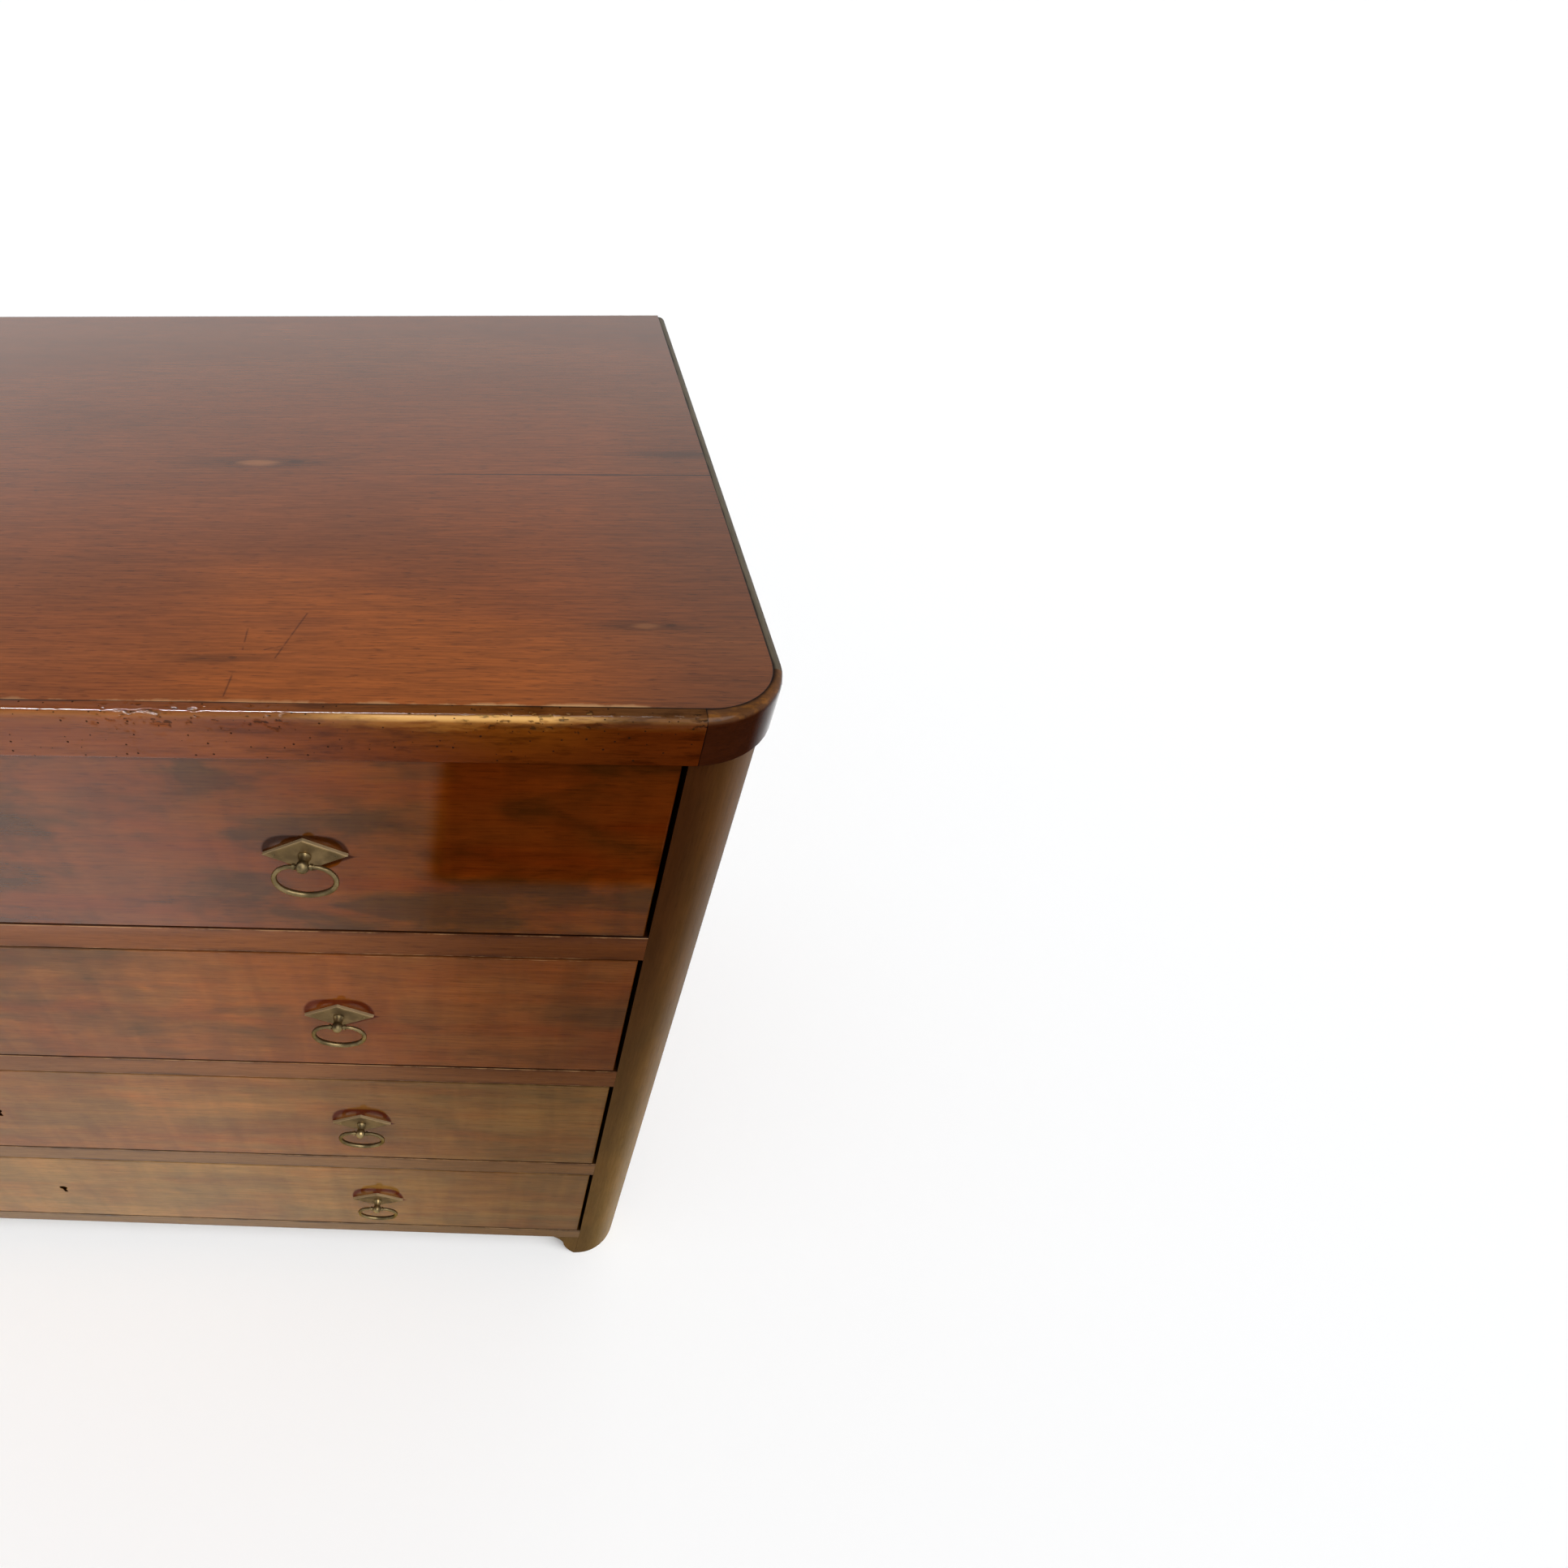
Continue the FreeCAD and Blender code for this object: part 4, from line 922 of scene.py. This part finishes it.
def post_finish():
    """Dark posts with upright grain, paler towards the floor, with a painted sheen towards the sides, and
    black painted shade beside the drawers.
    """
    low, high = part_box("front_post_right")
    material, sheet, shader = new_material("posts")
    position, along = placed(sheet, GRAIN_ALONG_Z)
    wood = grained(sheet, along, EDGE_COLOURS, streaks=0.06, fibres=0.08, pores=0.1)
    x, y, z = sheet.axes(position)
    faded = sheet.ramp(z, *POST_FADE_HEIGHTS)
    inner = sheet.minus(sheet.size(x), low.x)
    # Paler towards the sides: a painted sheen
    side = sheet.ramp(inner, 4 * MM, 44 * MM)
    colour = sheet.mix(side, sheet.mix(faded, *POST_INSIDE), sheet.mix(faded, *POST_SHEEN_OUTSIDE))
    flank = sheet.mix(faded, SIDE_COLOURS[1], FADED_COLOUR)
    colour = sheet.mix(sheet.ramp(y, high.y - 26 * MM, high.y - 6 * MM, 0.0, 0.8), colour, flank)
    colour = sheet.shaded(colour, wood)
    colour = smoked(sheet, along, colour, 0.3)
    # Black painted shade on the faces beside the drawers
    drawer_gap_shade = sheet.math("LESS_THAN", sheet.size(inner), 0.1 * MM)
    colour = sheet.tint(drawer_gap_shade, colour, GRIME_AND_SHADE_TINT)
    polish(sheet, shader, colour, wood["Height"], sheet.ramp(side, 0.3, 1.0, 0.02, 0.25), 0.2)
    return material


def bare_pine(name, turn):
    """Unpolished softwood of the inside and the back."""
    material, sheet, shader = new_material(name)
    position, along = placed(sheet, turn)
    wood = grained(sheet, along, PINE_COLOURS, streaks=0.2, pores=0.12)
    dust = sheet.ramp(sheet.noise(position, detail=4.0, scale=9.0), 0.35, 0.75, 0.72, 1.05)
    sheet.fill(shader, {"Base Color": sheet.scaled(wood["Color"], dust), "Roughness": 0.75})
    bump(sheet, shader, wood["Height"], strength=0.3)
    return material


def metal(name, bright, tarnish, roughness, metallic, edge=BRASS_EDGE, rim=None):
    """Cast and filed metal with patches of tarnish, and a painted highlight behind the plane of its rim.
    """
    material, sheet, shader = new_material(name)
    position, _ = placed(sheet)
    clouds = sheet.noise(position, detail=4.0, scale=90.0)
    mask = sheet.ramp(clouds, 0.34, 0.66)
    colour = sheet.mix(mask, bright, tarnish)
    if rim is not None:
        y = sheet.axes(position)["Y"]
        # Painted highlight on the sides of the plates
        colour = sheet.mix(sheet.ramp(y, rim, rim + 0.4 * MM, 0.0, 0.9), colour, PLATE_EDGE_HIGHLIGHT)
    rough = sheet.ramp(mask, 0.0, 1.0, roughness, roughness + 0.15)
    sheet.fill(shader, {"Base Color": colour, "Roughness": rough})
    sheet.fill(shader, {"Metallic": metallic, "Specular Tint": edge})
    grit = sheet.noise(position, scale=900.0)
    bump(sheet, shader, grit, strength=0.1, distance=0.1 * MM)
    return material


def dress(material, *nodes):
    for node in nodes:
        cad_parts[node].data.materials.clear()
        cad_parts[node].data.materials.append(material)


def dress_wood():
    dress(top_finish(), "top_board_front", "top_board_rear")
    dress(strip_finish(), "top_edge_sides")
    dress(block_finish(), "top_corner_blocks")
    dress(post_finish(), "front_post_left", "front_post_right", "foot_brackets")
    sides = plain_polished("side panels and rear posts", SIDE_COLOURS, GRAIN_ALONG_Z)
    dress(sides, "side_panel_left", "side_panel_right", "rear_posts")
    dress(rail_finish(), "drawer_dividers", "bottom_rail", "top_rail")
    for number, finish in zip(DRAWERS, FRONTS):
        dress(front_finish(number, *finish), f"drawer_{number}_front")
    lengthways = bare_pine("pine along the case", (0, 0, 0))
    crossways = bare_pine("pine from front to back", GRAIN_ALONG_Y)
    dress(lengthways, "back_boards", "bottom_board", "rear_rails", "drawer_stops")
    dress(crossways, "runners_and_kickers", "drawer_guides")
    for number in DRAWERS:
        dress(lengthways, f"drawer_{number}_back", f"drawer_{number}_bottom")
        dress(crossways, f"drawer_{number}_sides")


PLATE_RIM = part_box("pull_plates_1")[0].y + 0.3 * MM
PLATE_BRASS = metal("brass plates", *PLATE_METAL, rim=PLATE_RIM)
RING_BRASS = metal("brass rings", *RING_METAL)
POST_BRASS = metal("brass posts", *POST_METAL)
IRON = metal("iron", *IRON_METAL, edge=IRON_EDGE)


def dress_metal():
    for number in DRAWERS:
        dress(PLATE_BRASS, f"pull_plates_{number}")
        dress(POST_BRASS, f"pull_posts_{number}")
        dress(RING_BRASS, f"ring_{number}_left", f"ring_{number}_right")
        dress(IRON, f"lock_{number}_case", f"lock_{number}_bolt")


# Small fixings: round heads on upright faces, one mesh for each set, riding on its body
def add_object(name, data):
    made = bpy.data.objects.new(name, data)
    bpy.context.scene.collection.objects.link(made)
    return made


def make_heads_tree():
    """Flattened round heads set on points of upright faces, no two quite the same size."""
    sockets = {"Geometry": "Geometry", "Radius": "Float", "Height": "Float", "Seed": "Int"}
    sockets["Material"] = "Material"
    tree, sheet, given, result = new_group("heads", sockets, {"Geometry": "Geometry"}, "GeometryNodeTree")
    head = sheet.add("GeometryNodeMeshUVSphere", {"Segments": 20, "Rings": 12, "Radius": 1.0})
    size = sheet.joined(given["Radius"], given["Height"], given["Radius"])
    least, most = HEAD_SPREAD
    inputs = {2: least, 3: most, "Seed": given["Seed"]}
    uneven = sheet.add("FunctionNodeRandomValue", inputs, data_type="FLOAT")
    inputs = {"Points": given["Geometry"], "Instance": head.outputs["Mesh"]}
    inputs["Scale"] = sheet.scaled(size, uneven.outputs[1])
    heads = sheet.add("GeometryNodeInstanceOnPoints", inputs)
    real = sheet.add("GeometryNodeRealizeInstances", {0: heads.outputs[0]})
    smooth = sheet.add("GeometryNodeSetShadeSmooth", {0: real.outputs[0]})
    dressed = sheet.add("GeometryNodeSetMaterial", {0: smooth.outputs[0], "Material": given["Material"]})
    sheet.put(result["Geometry"], dressed.outputs[0])
    return tree


HEADS = make_heads_tree()


def add_heads(name, points, head, material, body):
    """Set heads on the points and let them ride on a body, as one plain mesh."""
    mesh = bpy.data.meshes.new(name + "_points")
    mesh.from_pydata(points, [], [])
    source = add_object(name + "_points", mesh)
    modifier = source.modifiers.new("heads", "NODES")
    modifier.node_group = HEADS
    radius, height = head
    values = {"Radius": radius, "Height": height, "Seed": len(points), "Material": material}
    for socket in HEADS.interface.items_tree:
        if socket.name in values:
            modifier[socket.identifier] = values[socket.name]
    evaluated = source.evaluated_get(bpy.context.evaluated_depsgraph_get())
    plain = bpy.data.meshes.new_from_object(evaluated)
    bpy.data.objects.remove(source)
    piece = add_object(name, plain)
    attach(piece, body)


def pin_points(number):
    """Two pins near the ends of each pull plate."""
    low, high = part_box(f"pull_plates_{number}")
    points = []
    for side in SIDES:
        ring_low, ring_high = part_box(f"ring_{number}_{side}")
        middle = (ring_low.x + ring_high.x) / 2
        reach = high.x - abs(middle) - PIN_INSET
        points += [(middle + step, low.y, (low.z + high.z) / 2) for step in (-reach, reach)]
    return points


def screw_points(number):
    """Four screws near the corners of a lock case."""
    low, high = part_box(f"lock_{number}_case")
    places = (low.x + SCREW_INSET, high.x - SCREW_INSET)
    rises = (low.z + SCREW_INSET, high.z - SCREW_INSET)
    return [(x, high.y, z) for x in places for z in rises]


def nail_points():
    """Nails of the back: a row into each rear rail, and two into a post at each end of a board."""
    low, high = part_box("back_boards")
    step = (high.x - low.x) / NAILS_ACROSS
    places = [low.x + step * (index + 0.5) for index in range(NAILS_ACROSS)]
    points = [(x, high.y, z) for z in (low.z + NAIL_INSET, high.z - NAIL_INSET) for x in places]
    pitch = (high.z - low.z) / BACK_BOARDS
    rises = [low.z + pitch * (index + share) for index in range(BACK_BOARDS) for share in (0.25, 0.75)]
    return points + [(x, high.y, z) for x in (low.x + NAIL_END, high.x - NAIL_END) for z in rises]


def add_fixings():
    for number in DRAWERS:
        body = f"drawer_{number}"
        add_heads(f"plate_pins_{number}", pin_points(number), PIN_HEAD, POST_BRASS, body)
        add_heads(f"lock_screws_{number}", screw_points(number), SCREW_HEAD, IRON, body)
    add_heads("back_nails", nail_points(), NAIL_HEAD, IRON, "carcase")


# Studio
def make_floor():
    half = FLOOR_SIZE / 2
    mesh = bpy.data.meshes.new("floor")
    corners = [(-half, -half, 0), (half, -half, 0), (half, half, 0), (-half, half, 0)]
    mesh.from_pydata(corners, [], [(0, 1, 2, 3)])
    material, sheet, shader = new_material("studio floor")
    sheet.fill(shader, {"Base Color": FLOOR_COLOUR, "Roughness": 0.9, "Specular IOR Level": 0.0})
    mesh.materials.append(material)
    add_object("floor", mesh)


def make_light():
    world = bpy.data.worlds.new("studio")
    bpy.context.scene.world = world
    world.use_nodes = True
    sheet = Sheet(world.node_tree)
    background = world.node_tree.nodes["Background"]
    height = sheet.axes(sheet.add("ShaderNodeTexCoord").outputs["Generated"])["Z"]
    level = sheet.ramp(height, HORIZON_TOP, CEILING_START, HORIZON_LIGHT, CEILING_LIGHT)
    sheet.fill(background, {"Strength": level, "Color": (1, 1, 1, 1)})

    sun = bpy.data.lights.new("soft key", "SUN")
    sun.energy = SUN_STRENGTH
    sun.angle = SUN_SOFTNESS
    lamp = add_object("soft key", sun)
    lamp.rotation_euler = SUN_TURN

    strip = bpy.data.lights.new("strip overhead", "AREA")
    strip.shape = "RECTANGLE"
    strip.size, strip.size_y = LAMP_SIZE
    strip.energy = LAMP_POWER
    lamp = add_object("strip overhead", strip)
    lamp.location = LAMP_PLACE
    lamp.visible_camera = False
    lamp.visible_diffuse = False


def make_camera():
    """Camera of the photograph: yaw and pitch from straight ahead, then the roll about its axis."""
    yaw, pitch, roll = CAMERA_YAW, CAMERA_PITCH, CAMERA_ROLL
    ahead = Vector((math.sin(yaw) * math.cos(pitch), math.cos(yaw) * math.cos(pitch), -math.sin(pitch)))
    level = Vector((math.cos(yaw), -math.sin(yaw), 0))
    below = ahead.cross(level)
    right = level * math.cos(roll) + below * math.sin(roll)
    up = level * math.sin(roll) - below * math.cos(roll)
    lens = bpy.data.cameras.new("camera")
    lens.sensor_width = SENSOR_MM
    lens.lens = SENSOR_MM * FOCAL_PX / PHOTO_PX
    lens.shift_x = 0.5 - LENS_AXIS_PX / PHOTO_PX
    lens.clip_start = 0.01
    camera = add_object("camera", lens)
    turn = Matrix((right, up, -ahead)).transposed().to_4x4()
    camera.matrix_world = Matrix.Translation(CAMERA_PLACE) @ turn
    bpy.context.scene.camera = camera


dress_wood()
dress_metal()
make_moulding()
add_fixings()
make_floor()
make_light()
make_camera()
bpy.context.scene.view_settings.view_transform = "Standard"
